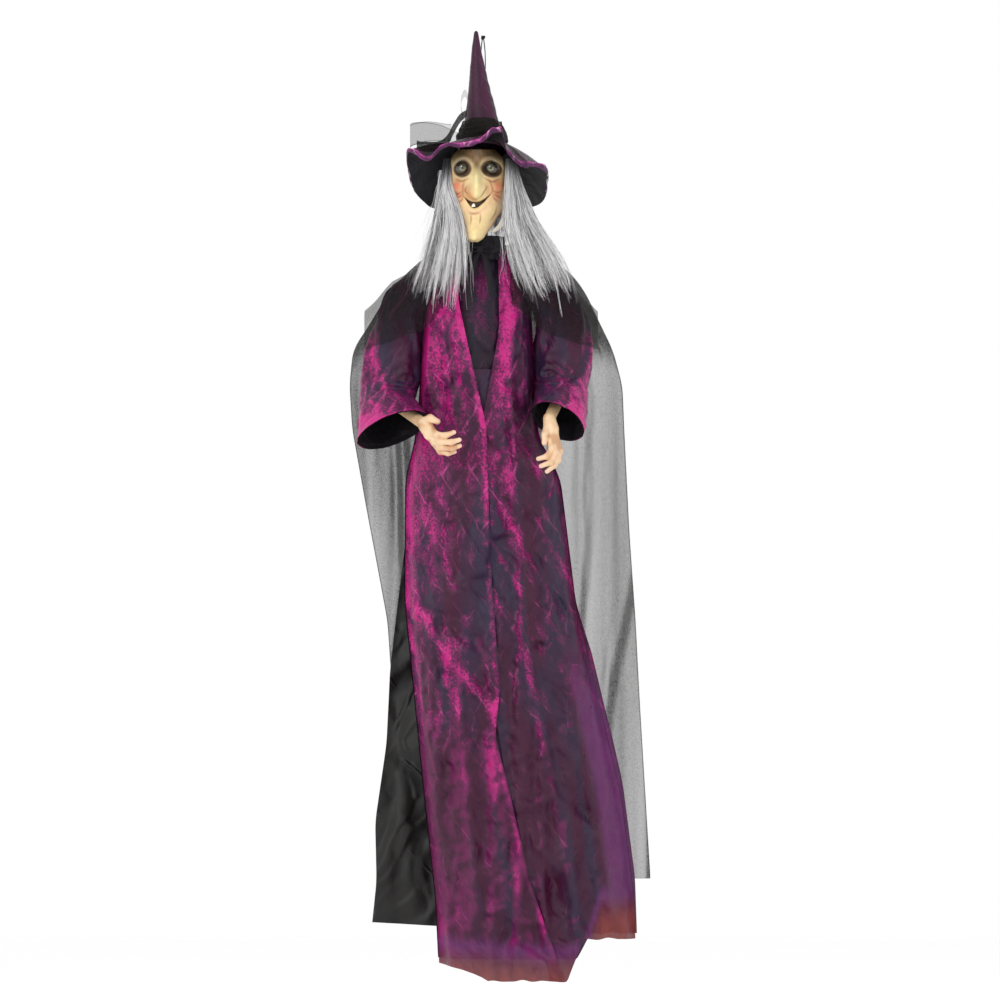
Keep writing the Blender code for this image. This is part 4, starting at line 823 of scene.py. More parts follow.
def cape():
    """The long net cape behind: soft folds from a gathered neck, with a fine dark edge."""
    z = by_row(420, CAPE[0][0], CAPE_FOOT)
    left, right = at(CAPE, z), at(CAPE, z, 2)
    share = np.linspace(1.0, 0.0, 190)
    x = left + (right - left) * share
    z = z + 0.004 * noise(x / 0.05, z / 0.3, 60)
    off = np.abs(2.0 * share - 1.0)
    behind = ramp(-0.98, -1.12, z) * ramp(0.06, -0.02, x)
    plain = at(CAPE_DEPTH, z) - 0.02 * off ** 2.5 * (1.0 - behind) + 0.012 * behind
    grow = ramp(-0.5, -0.8, z)
    fold = 0.008 * grow * hang(x * CAPE_FLAT[0] / (right - left), z, 61, 0.082)
    gathers = 0.003 * (1.0 - grow) * np.cos(TURN * 34 * share + 2.0 * noise(share * 9, z / 0.05, 62))
    fine = 0.0012 * noise(x / 0.012, z / 0.1, 63)
    points = join(x, plain + fold + gathers + fine, z)
    slope = np.abs(np.gradient(points[..., 1], axis=1) / np.gradient(points[..., 0], axis=1))
    lines = 0.5 + 0.5 * noise(x / 0.014, z / 0.5, 64)
    density = 0.4 + 0.95 * ramp(-0.74, -0.6, z) + 0.35 * ramp(0.15, 0.9, slope) + 0.16 * lines ** 2
    density = density + 0.14 * noise(x / 0.05, z / 0.6, 65)
    density = density + 0.16 * ramp(-0.02, -0.14, x) * ramp(-1.25, -0.85, z)
    density[:, [0, -1]] = 1.1
    made = dress(cloth_piece("net_cape", points, NET, cover=density), "torso", "cape")


def shoulder_drape(side, name):
    """The cape's front corner, over the shoulder and the top of the sleeve."""
    way, outer = ((-1.0, 0.262), (1.0, 0.254))[side]
    share = by_column(60)
    down = by_row(60)
    x = way * (0.06 + (outer - 0.06) * share)
    ridge = np.interp(share, (0.0, 0.35, 0.7, 1.0), (-0.46, -0.493, -0.535, -0.6))
    foot = np.interp(share, (0.0, 0.4, 1.0), (-0.56, -0.628, -0.668))
    bend = np.clip(down / 0.45, 0.0, 1.0) * math.pi / 2
    reach = np.interp(share, (0.0, 0.3, 0.7, 1.0), (0.056, 0.07, 0.058, 0.05))
    y = 0.045 - (0.045 + reach) * np.sin(bend)
    fall = np.clip((down - 0.3) / 0.7, 0.0, 1.0)
    z = ridge + 0.018 * (np.cos(bend) - 1.0) + (foot - ridge) * fall ** 1.3
    y = y - 0.0035 * noise(x / 0.022, z / 0.09, 70 + side) - 0.002 * hang(x, z, 72, 0.03)
    points = join(x, y, z + 0.003 * noise(x / 0.03, z / 0.03, 74))
    if side == 0:
        points = points[:, ::-1]
    made = cloth_piece(f"cape_corner_{name}", points, NET, cover=0.6 - 0.34 * ramp(0.35, 0.95, down))
    dress(made)
    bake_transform(made)


def underskirt():
    """Black taffeta that shows to the left of the coat, with pressed creases."""
    top, foot = UNDERSKIRT[0][0], -1.952
    z = by_row(230, top, foot)
    left = at(UNDERSKIRT, z)
    x = left + (UNDERSKIRT_RIGHT - left) * np.linspace(0.0, 1.0, 76)
    z = z - 0.06 * (x - UNDERSKIRT[-1][1]) * ramp(top, foot, z)
    y = UNDERSKIRT_Y - 0.45 * crumple(x, z, 90, 0.12, -0.9) - 0.002 * hang(x, z, 91, 0.12)
    made = cloth_piece("underskirt_cloth", join(x, y, z), TAFFETA)
    dress(made, "torso", "black_underskirt")


# ---- sleeves --------------------------------------------------------------------------------
# Rings of each sleeve from inside the armhole to the mouth: centre, half width, half depth.
SLEEVE_RINGS = (
    (
        ((-0.098, 0, -0.532), (0.004, 0, -0.044), (0, 0.04, 0)),
        ((-0.138, 0, -0.556), (0.03, 0, -0.036), (0, 0.044, 0)),
        ((-0.168, 0, -0.584), (0.044, 0, -0.026), (0, 0.047, 0)),
        ((-0.186, 0, -0.63), (0.052, 0, -0.008), (0, 0.05, 0)),
        ((-0.196, 0.002, -0.69), (0.06, 0, 0), (0, 0.051, 0)),
        ((-0.203, 0.002, -0.758), (0.064, 0, 0.004), (0, 0.051, -0.006)),
        ((-0.211, -0.028, -0.806), (0.063, 0, 0.012), (0, 0.05, -0.028)),
        ((-0.207, -0.058, -0.838), (0.07, 0, 0.02), (0, 0.049, -0.034)),
        ((-0.199, -0.086, -0.862), (0.079, 0, 0.025), (0, 0.05, -0.034)),
    ),
    (
        ((0.084, 0, -0.532), (0.004, 0, 0.044), (0, 0.04, 0)),
        ((0.124, 0, -0.552), (0.03, 0, 0.036), (0, 0.044, 0)),
        ((0.154, 0, -0.578), (0.044, 0, 0.026), (0, 0.047, 0)),
        ((0.173, 0, -0.625), (0.056, 0, 0.008), (0, 0.05, 0)),
        ((0.176, 0.002, -0.69), (0.064, 0, 0), (0, 0.051, 0)),
        ((0.176, 0.002, -0.746), (0.061, 0, -0.004), (0, 0.051, -0.006)),
        ((0.175, -0.026, -0.788), (0.057, 0, -0.01), (0, 0.05, -0.028)),
        ((0.171, -0.054, -0.82), (0.056, 0, -0.016), (0, 0.048, -0.036)),
        ((0.165, -0.078, -0.844), (0.058, 0, -0.02), (0, 0.046, -0.038)),
    ),
)
SLEEVE_ROWS, SLEEVE_SPLIT = 128, 80
SLEEVE_RADIUS, SLEEVE_LENGTH = 0.057, 0.42
SIDE_X = (-1.0, 1.0)


def sleeve_points(side, shrink=0.0):
    """A sleeve's grid, from the armhole down: folds at the elbow and soft creases."""
    rings = spline(np.array(SLEEVE_RINGS[side], float), SLEEVE_ROWS)
    around = by_turn(84)
    centre, wide, deep = (rings[:, part][:, None] for part in range(3))
    points = centre - wide * np.cos(around)[..., None] - deep * np.sin(around)[..., None]
    down = by_row(SLEEVE_ROWS)
    u, v = SLEEVE_RADIUS * around, SLEEVE_LENGTH * down
    sign = SIDE_X[side]
    far = np.hypot((u - SLEEVE_RADIUS * (1.57 - 0.5 * sign)) / 1.15, v - 0.262)
    arcs = 0.0026 * np.cos(TURN * far / 0.019 + noise(u / 0.03, v / 0.03, 101)) * hump(far, 0.0, 0.046)
    pulls = 0.003 * np.cos(TURN * (u / 0.05 + 0.9 * v / 0.1 * sign) + 2 * noise(u / 0.06, v / 0.1, 102))
    pulls = pulls * ramp(0.2, 0.36, down) * ramp(0.72, 0.5, down)
    wide = 0.0032 * noise(u / 0.05, v / 0.09, 103 + side) * ramp(0.1, 0.3, down)
    fine = 0.42 * crumple(u, v, 105 + side, 0.034, 0.3) * ramp(0.05, 0.25, down)
    height = (arcs + pulls + wide + fine) * (1.0 - 0.6 * ramp(0.93, 1.0, down))
    return points + normals(points, True) * (height - shrink)[..., None]


def sleeve_shot(points, side):
    """Painted sheen: grainy magenta down the outer side, slate in front with wrinkles lit where they face
    up, and a painted highlight along the cuff edge.
    """
    way = normals(points, True)
    out = way[..., 0] * SIDE_X[side]
    down = by_row(SLEEVE_ROWS)
    place = noise(points[..., 0] / 0.03, points[..., 2] / 0.06, 108 + side)
    outer = ramp(0.35, 0.8, out + 0.2 * place) * ramp(0.34, 0.5, down)
    cuff = 0.34 * ramp(0.8, 0.97, down) * ramp(-0.1, 0.6, out) + 0.3 * ramp(0.965, 0.99, down)
    return -0.14 + 0.62 * outer + cuff + 0.42 * way[..., 2] + 0.16 * place


def sleeve(side, name):
    """Upper sleeve and bell as two pieces that meet at the elbow, and the black lining."""
    points, arm, cut = sleeve_points(side), f"upper_arm_{name}", SLEEVE_SPLIT
    shot = sleeve_shot(points, side)
    top = cloth_piece(f"sleeve_{name}_top", points[:cut + 1], MAGENTA, True, shot=shot[:cut + 1],
                      sheer=0.0, warm=-0.07)
    dress(top, node=f"sleeve_upper_{name}")
    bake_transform(top)
    bell = cloth_piece(f"sleeve_{name}_bell", points[cut:], MAGENTA, True, shot=shot[cut:],
                       sheer=0.0, warm=-0.07)
    dress(bell, node=f"sleeve_lower_{name}")
    inner = sleeve_points(side, 0.0026)[cut - 6:][:, ::-1]
    inside = dress(cloth_piece(f"sleeve_{name}_lining", inner, BLACK, True))
    for made, length in ((bell, 0.14), (inside, 0.15)):
        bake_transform(made)


# ---- hat ------------------------------------------------------------------------------------
HAT_BASE = np.array((-0.002, -0.006, -0.237))
HAT_TIP = np.array((-0.0155, -0.034, 0.0195))
HAT_BASE_R = (0.051, 0.0565)
HAT_LEAN = 0.33
# The cone's half width as a share of its base, and how far its middle bows to the right.
HAT_SHAPE = ((0, 1, 0), (0.07, 0.92, 0.001), (0.2, 0.76, 0.002), (0.38, 0.575, 0.0015), (0.53, 0.44, 0),
    (0.69, 0.31, -0.001), (0.85, 0.19, -0.001), (0.96, 0.11, 0), (0.99, 0.08, 0), (1, 0.012, 0))
BRIM_HOLE_R = (0.054, 0.06)
# The brim's floppy edge, from the left round the front: (x, y, z).
BRIM_EDGE = ((-0.163, -0.02, -0.285), (-0.163, -0.08, -0.246), (-0.122, -0.112, -0.263),
    (-0.092, -0.128, -0.243), (-0.064, -0.14, -0.235), (-0.034, -0.148, -0.232), (-0.007, -0.152, -0.228),
    (0.014, -0.152, -0.21), (0.03, -0.15, -0.201), (0.043, -0.148, -0.204), (0.051, -0.142, -0.244),
    (0.076, -0.13, -0.272), (0.094, -0.118, -0.281), (0.108, -0.105, -0.276), (0.138, -0.065, -0.286),
    (0.141, -0.01, -0.312), (0.133, 0.055, -0.352), (0.105, 0.105, -0.368), (0.06, 0.136, -0.364),
    (0, 0.148, -0.358), (-0.06, 0.138, -0.364), (-0.108, 0.106, -0.368), (-0.148, 0.05, -0.337))


def cone_ring(share, out, around):
    """Points round the hat's cone at a share of its height; around 0 is the left, rising to the front."""
    centre = HAT_BASE + (HAT_TIP - HAT_BASE) * share
    centre = centre + np.array((at(HAT_SHAPE, share, 2, 0.0), -0.01 * math.sin(math.pi * share), 0.0))
    narrow = float(at(HAT_SHAPE, share, 1, 0.0))
    a, b = HAT_BASE_R[0] * narrow + out, HAT_BASE_R[1] * narrow + out
    lean = HAT_LEAN * (1.0 - share)
    side, front = -a * np.cos(around), -b * np.sin(around)
    return centre + np.stack([side, front, -lean * front], axis=-1)


def hat_cone():
    """The tall cone, a little slack over its stiffening, with a sewn seam up its right side."""
    around, shares = by_turn(120), by_row(150, 1.0, -0.04)
    points = np.stack([cone_ring(share, 0.0, around[0]) for share in shares[:, 0]])
    way = normals(points, True)
    u, v = around * 0.04, shares * 0.26
    slack = 0.0006 * np.cos(TURN * (v / 0.03 + u / 0.08)) * noise(u / 0.03, v / 0.06, 121)
    slack = slack + 0.0009 * noise(u / 0.02, v / 0.045, 120)
    seam = hump(around, 2.75, 0.035)
    points = points + way * (slack * ramp(1.0, 0.8, shares) + 0.0006 * seam)[..., None]
    # Painted light on the cone: painted sheen on its front and right, painted shade low on its left, lighter
    # where it faces up; darker along the seam.
    shine = hump(around, 2.25, 0.42) + 0.5 * hump(around, 1.2, 0.35)
    dusk = ramp(0.42, 0.05, shares) * ramp(2.4, 1.4, around)
    shot = 0.02 + 0.32 * shine - 0.5 * dusk - 0.4 * seam + 0.15 * way[..., 2]
    made = cloth_piece("hat_cone_cloth", points, PURPLE, True, sheer=0.0, grain=0.25,
                       shot=shot + 0.1 * noise(u / 0.012, v / 0.09, 122))
    dress(made, "head", "hat_cone")


def brim_points(drop, columns=360, rows=34):
    """The brim's grid from the cone's foot to its edge, waved and a little crumpled."""
    edge = spline(BRIM_EDGE, columns, True)
    turn = np.arctan2(edge[:, 1] - HAT_BASE[1], edge[:, 0] - HAT_BASE[0])
    side, front = BRIM_HOLE_R[0] * np.cos(turn), BRIM_HOLE_R[1] * np.sin(turn)
    hole = HAT_BASE + join(side, front, -HAT_LEAN * front)
    share = by_row(rows)
    points = hole + (edge - hole) * share[..., None]
    around = np.arange(columns)[None, :] * (0.95 / columns)
    bow = 0.007 * np.sin(math.pi * share) + 0.003 * share * noise(around / 0.03, share * 2.0, 130)
    points[..., 2] += bow + 0.0016 * noise(around / 0.012, share / 0.22, 131) * share - drop
    return points, around, share


def hat_brim():
    """The brim's purple top, its black underside and the folded band round its edge."""
    points, around, share = brim_points(0.0)
    # Painted sheen on the brim's top: patchy, and stronger near its edge.
    shot = 0.05 + 0.4 * noise(around / 0.03, share * 3.0, 132) + 0.3 * ramp(0.8, 1.0, share)
    top = cloth_piece("brim_top", points, PURPLE, True, shot=shot, sheer=0.0)
    bottom = cloth_piece("brim_underside", brim_points(0.0022)[0][:, ::-1], BLACK, True)
    x, y, z = points[-1].T
    outward = points[-1, :, :2] - HAT_BASE[:2]
    outward = outward / np.linalg.norm(outward, axis=1, keepdims=True)
    front = ramp(0.02, -0.09, y)
    steep = hump(x, 0.048, 0.008) * ramp(-0.05, -0.12, y)
    tall = (0.0038 + 0.0078 * front) * (1.0 - 0.7 * steep)
    tall = tall * (1.0 + 0.3 * noise(around[0] / 0.022, 0.0, 133))
    level = by_row(9)
    out = 0.0022 * np.sin(math.pi * level) + 0.0008 + 0.0012 * noise(around / 0.007, level * 3.0, 134)
    band = join(x + outward[:, 0] * out, y + outward[:, 1] * out, z + tall * (0.55 - level))
    # Painted highlight along the band's top edge and where it faces up; darker towards the back.
    shot = 0.16 + 0.75 * ramp(0.3, 0.0, level) + 0.4 * noise(around / 0.012, level * 2.0, 135)
    shot = shot + 0.35 * normals(band, True)[..., 2] - 0.35 * (1.0 - front)
    trim = cloth_piece("brim_band", band, PIPING, True, shot=shot, sheer=0.0)
    for made, node in ((top, "hat_brim"), (bottom, None), (trim, None)):
        dress(made, "head", node)


def hat_net():
    """Gathered net round the foot of the cone, a wide loop at the left, and two loose ends."""
    around, v = by_turn(300), by_row(34)
    points = np.stack([cone_ring(0.205 - 0.235 * part, 0.0035 + 0.006 * math.sin(math.pi * part), around[0])
                       for part in v[:, 0]])
    u = around * 0.045
    waves = np.cos(TURN * (v * 4.2 + 0.5 * noise(u / 0.03, v, 140)))
    puff = 0.0022 * waves * noise(u / 0.022, v * 2.5, 141) + 0.0018 * noise(u / 0.006, v * 2.2, 142)
    points = points + normals(points, True) * puff[..., None]
    band = cloth_piece("hat_net_band", points, NET, True, cover=0.98 + 0.2 * waves)
    dress(band, "head", "hat_tulle_band")
    net_strip("hat_net_loop", 0.05, 0.1, -0.02, 143, 3,
              ((-0.052, -0.052, -0.226), (-0.094, -0.058, -0.212), (-0.135, -0.06, -0.208),
               (-0.155, -0.056, -0.209), (-0.161, -0.046, -0.212), (-0.152, -0.038, -0.209),
               (-0.118, -0.034, -0.203), (-0.07, -0.036, -0.204)))
    net_strip("hat_net_end", 0.022, 0.85, 0.0, 144, 7,
              ((-0.036, -0.056, -0.163), (-0.052, -0.068, -0.176), (-0.066, -0.08, -0.2),
               (-0.078, -0.092, -0.222), (-0.1, -0.104, -0.236), (-0.132, -0.108, -0.238),
               (-0.146, -0.104, -0.232)))
    net_strip("hat_net_curl", 0.016, 0.1, 0.0, 145, 2,
              ((-0.03, -0.02, -0.196), (-0.044, -0.02, -0.17), (-0.049, -0.022, -0.138),
               (-0.04, -0.026, -0.118), (-0.028, -0.028, -0.14)))


def net_strip(name, width, density, lean, seed, pleats, path):
    """A strip of net that stands on its edge along a path, pleated along its length."""
    columns, rows = 110, 26
    level = by_row(rows, 0.5, -0.5)
    share = by_column(columns)
    pinch = 0.62 + 0.38 * np.sin(math.pi * np.clip(share, 0.04, 0.96)) ** 0.5
    points = np.zeros((rows, columns, 3)) + spline(path, columns)
    points[..., 2] += level * width * pinch + 0.002 * noise(share / 0.2, level * 2.0, seed)
    pleat = np.cos(TURN * (level * pleats + 0.6 * noise(share / 0.22, level * 3.0, seed + 1)))
    points[..., 1] += lean * level + 0.0022 * pleat + 0.0015 * noise(share / 0.08, level * 5.0, seed + 2)
    edge = hump(np.abs(level), 0.5, 0.03)
    cover = density + 0.3 * np.abs(pleat) * density
    if density < 0.5:
        cover = cover + 0.75 * edge - 0.16 * (1.0 - edge)
    made = dress(cloth_piece(name, points, NET, cover=cover), "head")


# ---- mask -----------------------------------------------------------------------------------
# Places on the face are in millimetres from its middle: x to the viewer's right, z up.
FACE = np.array((-0.0144, 0.0, -0.3316))
FACE_FRONT = -88.0
FACE_WIDTH = ((88, 40), (78, 52), (66, 60), (49, 64), (20, 64.5), (0, 64), (-20, 61.5), (-35, 58.5),
    (-50, 53.5), (-62, 45), (-75, 38), (-88, 30), (-98, 24), (-107, 19.5), (-112, 14.5), (-115.5, 6))
FACE_SHIFT = ((88, 0), (0, 1), (-40, 1.5), (-75, 0.5), (-115, -3.5))
# Each eye's x, z, half width, half height and turn.
EYES = ((-30.8, 45.5, 20, 19, 0.3), (33.2, 45, 24, 18.5, -0.22))
EYE_CENTRES = ((-0.0464, -0.07, -0.283), (0.0177, -0.07, -0.283))
EYE_RADIUS = 0.015
MOUTH_TOP = ((-26.5, -17), (-20, -23), (-12, -27), (-3, -28.5), (8, -27), (20, -20), (32, -10))
MOUTH_FOOT = ((-26.5, -17), (-19, -29), (-13, -37), (-5, -41.5), (4, -39), (17, -27.5), (32, -10))
# Lines of the face and how wide each is.
WRINKLES = (
    (((-31, -4), (-40, -9), (-50, -7)), 1.7), (((-30, -9), (-37, -16), (-47, -17)), 1.7),
    (((-29, -14), (-33, -24), (-41, -28)), 1.6), (((36, -3), (46, -6), (56, -3)), 1.7),
    (((37, -8), (46, -14), (55, -19)), 1.7), (((36, -13), (42, -22), (48, -27)), 1.5),
    (((-26, 22), (-29, 10), (-30, -4), (-29, -14)), 2.2), (((29, 22), (34, 10), (36, -1), (34, -8)), 2.2),
    (((-19, -51), (-6, -54), (8, -51)), 2), (((-13, -55), (-12, -66), (-14, -76)), 1.7),
    (((9, -54), (9, -65), (7, -75)), 1.7), (((-46, 24), (-32, 19), (-18, 25)), 1.6),
    (((20, 24), (36, 18), (52, 25)), 1.6), (((-8, 62), (-7, 74), (-8, 84)), 2),
    (((7, 62), (8, 74), (7, 84)), 2),
    (((-44, -38), (-40, -55), (-31, -70)), 1.6), (((45, -38), (41, -54), (30, -68)), 1.6),
)
BROWS = (((-50, 60), (-40, 69), (-26, 71), (-12, 62)), ((13, 62), (26, 71), (42, 69), (55, 56)))
NOSTRIL_LEFT = ((-22, 6), (-25, -2), (-20, -10))
# How far the plain face comes forward, in soft spots: amount, x, z and spread both ways.
SWELLS = ((15, 0.5, 26, 9, 24), (14, -1, 4, 15, 17), (13, -1.5, -8, 14, 11.5), (6, -1.5, -17, 9, 7),
          (7, -18, -3, 9, 11), (7, 19, -1, 9, 11), (9.5, -44, 8, 15, 12), (9.5, 47, 8, 15, 12),
          (4, -40, -18, 9, 9), (4, 44, -16, 9, 9), (-5, 0.5, 62, 9, 12), (17, -4, -97, 21, 23),
          (5, -4, -104, 11, 9), (1.5, -4, -64, 7, 14))
# Soft spots: strength, x, z, spread both ways and colour. The first, pale yellow on the bridge of the nose,
# is a painted highlight; the rest are airbrushed blush and brown on the cheeks and round the nose.
SPOTS = ((0.85, 0, 24, 13, 24, (248, 236, 176)), (0.95, -45, 8, 17, 12, (212, 112, 78)),
         (0.95, 49, 8, 16, 14, (212, 118, 80)), (0.85, -42, -14, 13, 13, (206, 108, 74)),
         (0.8, 46, -14, 13, 13, (206, 114, 76)), (0.8, -18, -6, 10, 13, (200, 132, 76)),
         (0.75, -9, -17, 14, 7, (186, 118, 62)), (0.6, 24, -2, 8, 13, (206, 140, 96)))
# Soft lines: painted highlights down the nose and its right side, a pale pink band round the lower lip, and
# painted shade down both sides of the jaw. Each gives strength, points, width and colour.
LIGHTS = ((0.8, ((0, 16), (4, 0), (6, -14), (5, -22)), 4.0, (250, 232, 160)),
          (0.5, ((16, 12), (18, 0), (14, -12)), 3.2, (250, 226, 170)),
          (0.7, ((-34, -26), (-22, -44), (-4, -51), (12, -47), (28, -35), (40, -18)), 6.0, (240, 196, 160)),
          (0.6, ((-50, -28), (-46, -52), (-36, -74), (-24, -94)), 6.5, (196, 140, 92)),
          (0.55, ((54, -34), (48, -54), (36, -74), (24, -92)), 6.0, (206, 156, 104)))
LIDS = ((0.75, ((-54, 50), (-46, 64), (-30, 71), (-14, 62)), 5.5, (150, 138, 108)),
        (0.75, ((14, 62), (28, 71), (44, 68), (57, 52)), 5.5, (146, 134, 104)),
        (0.45, ((-52, 34), (-40, 22), (-22, 24)), 5.0, (186, 150, 108)),
        (0.45, ((16, 26), (36, 18), (56, 30)), 5.0, (186, 150, 108)))


def blob(x, z, place, spread):
    """A soft spot from 0 to 1 about a place, spread each way."""
    return hump(x, place[0], spread[0]) * hump(z, place[1], spread[1])


def stroke(x, z, line, width):
    """A soft line from 0 to 1 through the points, tapered at both ends."""
    points = spline(line, 40)
    best = np.zeros_like(x)
    for index, point in enumerate(points):
        taper = 0.35 + 0.65 * math.sin(math.pi * (index + 0.5) / len(points))
        best = np.maximum(best, taper * np.exp(-((x - point[0]) ** 2 + (z - point[1]) ** 2) / width ** 2))
    return best


def mouth_share(x, z):
    """1 inside the open smile, 0 outside."""
    inside = ramp(-0.8, 0.8, follow(MOUTH_TOP, x) - z) * ramp(-0.8, 0.8, z - follow(MOUTH_FOOT, x))
    return inside * ramp(-27.0, -25.0, x) * ramp(32.5, 30.5, x)


def eye_distance(x, z, eye, size=1.0):
    """0 at an eye's middle, 1 at the edge of the dark paint round it."""
    middle_x, middle_z, wide, tall, turn = eye
    dx, dz = x - middle_x, z - middle_z
    level = dx * math.cos(turn) + dz * math.sin(turn)
    over = -dx * math.sin(turn) + dz * math.cos(turn)
    return np.hypot(level / (size * wide), over / (size * tall))


def face_offsets(x, z):
    """How far each place of the plain face moves forward and up, in millimetres: nose, chin, cheeks."""
    forward = sum(amount * blob(x, z, spot[:2], spot[2:]) for amount, *spot in SWELLS)
    forward += 6.0 * sum(stroke(x, z, brow, 7.0) for brow in BROWS)
    for eye in EYES:
        forward -= 12.0 * hump(eye_distance(x, z, eye, 0.82), 0.0, 1.0)
        forward += 1.8 * hump(np.abs(eye_distance(x, z, eye) - 0.78), 0.0, 0.14)
    forward += 3.5 * stroke(x, z, ((-28, -22), (-18, -39), (-5, -47), (8, -44), (22, -33), (34, -16)), 4.2)
    forward -= 9.0 * mouth_share(x, z)
    for line, width in WRINKLES:
        forward -= 1.9 * stroke(x, z, line, width)
    for line in (NOSTRIL_LEFT, ((24, 8), (20, 0), (14, -9))):
        forward -= 2.4 * stroke(x, z, line, 1.7)
    upward = -9.0 * blob(x, z, (-1.5, -8.0), (11.0, 12.0)) - 3.0 * blob(x, z, (-4.0, -106.0), (12.0, 8.0))
    return forward, upward


def face_paint(x, z):
    """The mask's colours, to be laid on one after another: airbrushed paint, with painted highlights on the
    nose and painted shade on the forehead under the hat, between the brows, under the brim and down the
    sides of the jaw.
    """
    layers = [(ramp(-60.0, -100.0, z) * 0.5, (246, 224, 160))]
    layers += [(share * blob(x, z, spot[:2], spot[2:]), paint) for share, *spot, paint in SPOTS]
    layers += [(share * stroke(x, z, line, width), paint) for share, line, width, paint in LIGHTS]
    # Painted shadow of the hat: the forehead darkens towards the brim, and between the brows.
    layers.append((ramp(50.0, 74.0, z) * 0.9, (104, 80, 52)))
    layers.append((0.8 * blob(x, z, (0.5, 58.0), (11.0, 15.0)), (112, 84, 52)))
    layers += [(share * stroke(x, z, line, width), paint) for share, line, width, paint in LIDS]
    # Painted shadow, darkest right under the brim.
    layers.append((0.55 * ramp(80.0, 92.0, z), (52, 40, 30)))
    layers += [(0.62 * stroke(x, z, line, width * 1.15), (132, 72, 40)) for line, width in WRINKLES]
    for line in (NOSTRIL_LEFT, ((24, 8), (20, 0), (14, -9), (6, -16))):
        layers.append((0.8 * stroke(x, z, line, 1.8), (104, 60, 28)))
    for eye in EYES:
        far = eye_distance(x, z, eye)
        layers.append((0.98 * ramp(1.1, 0.9, far), (20, 15, 12)))
        layers.append((0.25 * hump(far, 0.74, 0.08), (62, 48, 32)))
    lip = ((-28, -15), (-20, -22), (-12, -26), (-3, -27.5), (8, -26), (20, -19), (33, -8))
    return layers + [(0.9 * stroke(x, z, lip, 1.5), (70, 26, 16)), (mouth_share(x, z), (14, 9, 8))]


def mask():
    """The hag's face as one moulded, painted skin, with its pale edge turned in."""
    z = by_row(236, FACE_WIDTH[0][0], FACE_WIDTH[-1][0])
    turn = by_column(190, -0.5 * math.pi, 0.5 * math.pi)
    turn = 0.5 * turn + 0.25 * math.pi * np.sin(turn)
    x = at(FACE_SHIFT, z, 1, 3.0) + at(FACE_WIDTH, z, 1, 3.0) * np.sin(turn)
    off = np.abs(np.sin(turn))
    edge = np.interp(z, (-115.0, -60.0, -28.0), (-62.0, -44.0, -34.0))
    rise = np.interp(z, (-115.0, -68.0, 30.0, 88.0), (0.75, 0.85, 1.0, 0.86))
    plain = edge + (FACE_FRONT - edge) * rise * (1.0 - off ** 2.4)
    fade = ramp(1.0, 0.9, off)
    forward, upward = face_offsets(x, z)
    tuck = np.interp(z, (-115.5, -109.0), (16.0, 0.0)) * (1.0 - off ** 2)
    points = FACE + 0.001 * join(x, plain - forward * fade + tuck, z + upward * fade)
    # Painted shade: the face darkens at its sides, where it turns away.
    layers = face_paint(x, z) + [(0.75 * ramp(0.9, 0.985, off), (120, 78, 48))]
    made = painted_piece("mask_face", points, MASK, (238, 212, 156), layers)
    dress(made, "head", "face_mask")
    dress(mask_rim(), "head")


def mask_rim():
    """The unpainted edge of the mask, turned out below the right jaw."""
    line = spline(((0.047, -0.046, -0.372), (0.044, -0.046, -0.39), (0.0365, -0.048, -0.405),
                   (0.0235, -0.051, -0.4185), (0.015, -0.054, -0.424)), 50)
    wide = 0.0105 * np.sin(math.pi * np.linspace(0.0, 1.0, 50)) ** 0.7
    rows = []
    for part, back in zip((0.0, 0.35, 0.7, 1.0, 1.0, 0.7, 0.35, 0.0), (0.0,) * 4 + (0.001,) * 4):
        out = part * wide
        rows.append(line + join(0.75 * out, 0.25 * out + back, -0.66 * out))
    return painted_piece("mask_rim", np.stack(rows, axis=1), MASK, (244, 238, 220), wrap=True)


def eyeball(side, name):
    """A glass-like eye: dark iris with a pale ring, a painted wet highlight and a raised cornea."""
    polar = by_row(90, 0.0, 0.62 * math.pi)
    around = by_turn(96)
    radius = EYE_RADIUS - 0.0004 + 0.0011 * hump(polar, 0.0, 0.42)
    x, y, z = np.sin(polar) * np.cos(around), -np.cos(polar), np.sin(polar) * np.sin(around)
    gaze = math.radians((6.0, -3.0)[side])
    turned = join(x * math.cos(gaze) - y * math.sin(gaze), x * math.sin(gaze) + y * math.cos(gaze), z)
    points = np.array(EYE_CENTRES[side]) + turned * radius[..., None]
    streaks = 0.5 + 0.5 * np.cos(around * 23 + 5.0 * noise(around * 3, polar * 6, 150))
    iris = ramp(0.5, -0.4, np.sin(around)) * ramp(0.66, 0.5, polar) * ramp(0.24, 0.36, polar)
    # Painted highlight: a pale spot on the cornea, up and to the left of the eye's middle.
    shine = blob(polar * np.cos(around), polar * np.sin(around), (-0.16, 0.17), (0.085, 0.075))
    layers = [
        (0.96 - 0.3 * ramp(0.1, -0.7, np.sin(around)) * ramp(1.05, 0.85, polar), (24, 18, 13)),
        (ramp(0.66, 0.4, polar) * (0.52 + 0.3 * streaks), (104, 106, 84)),
        (0.45 * iris, (150, 150, 122)),
        (ramp(0.31, 0.23, polar), (10, 9, 7)),
        (0.95 * shine, (250, 250, 245)),
    ]
    made = painted_piece(f"glass_eye_{name}", points, GLOSS, (74, 66, 50), layers, True)
    dress(made, "head", f"eye_{name}")


def tooth():
    """The one crooked tooth, rounded off at its foot."""
    around = by_turn(28)
    part = by_row(12, 1.0, 0.0)
    size = 0.0042 * (1.0 - 0.25 * part) * np.sqrt(np.maximum(1.0 - part ** 4, 0.0004))
    x = FACE[0] - 0.0068 + 0.0008 * part + size * np.cos(around)
    points = join(x, -0.0865 + 0.55 * size * np.sin(around), FACE[2] - 0.0385 + 0.0075 * part)
    dress(painted_piece("front_tooth", points, GLOSS, (250, 246, 226), wrap=True), "head")


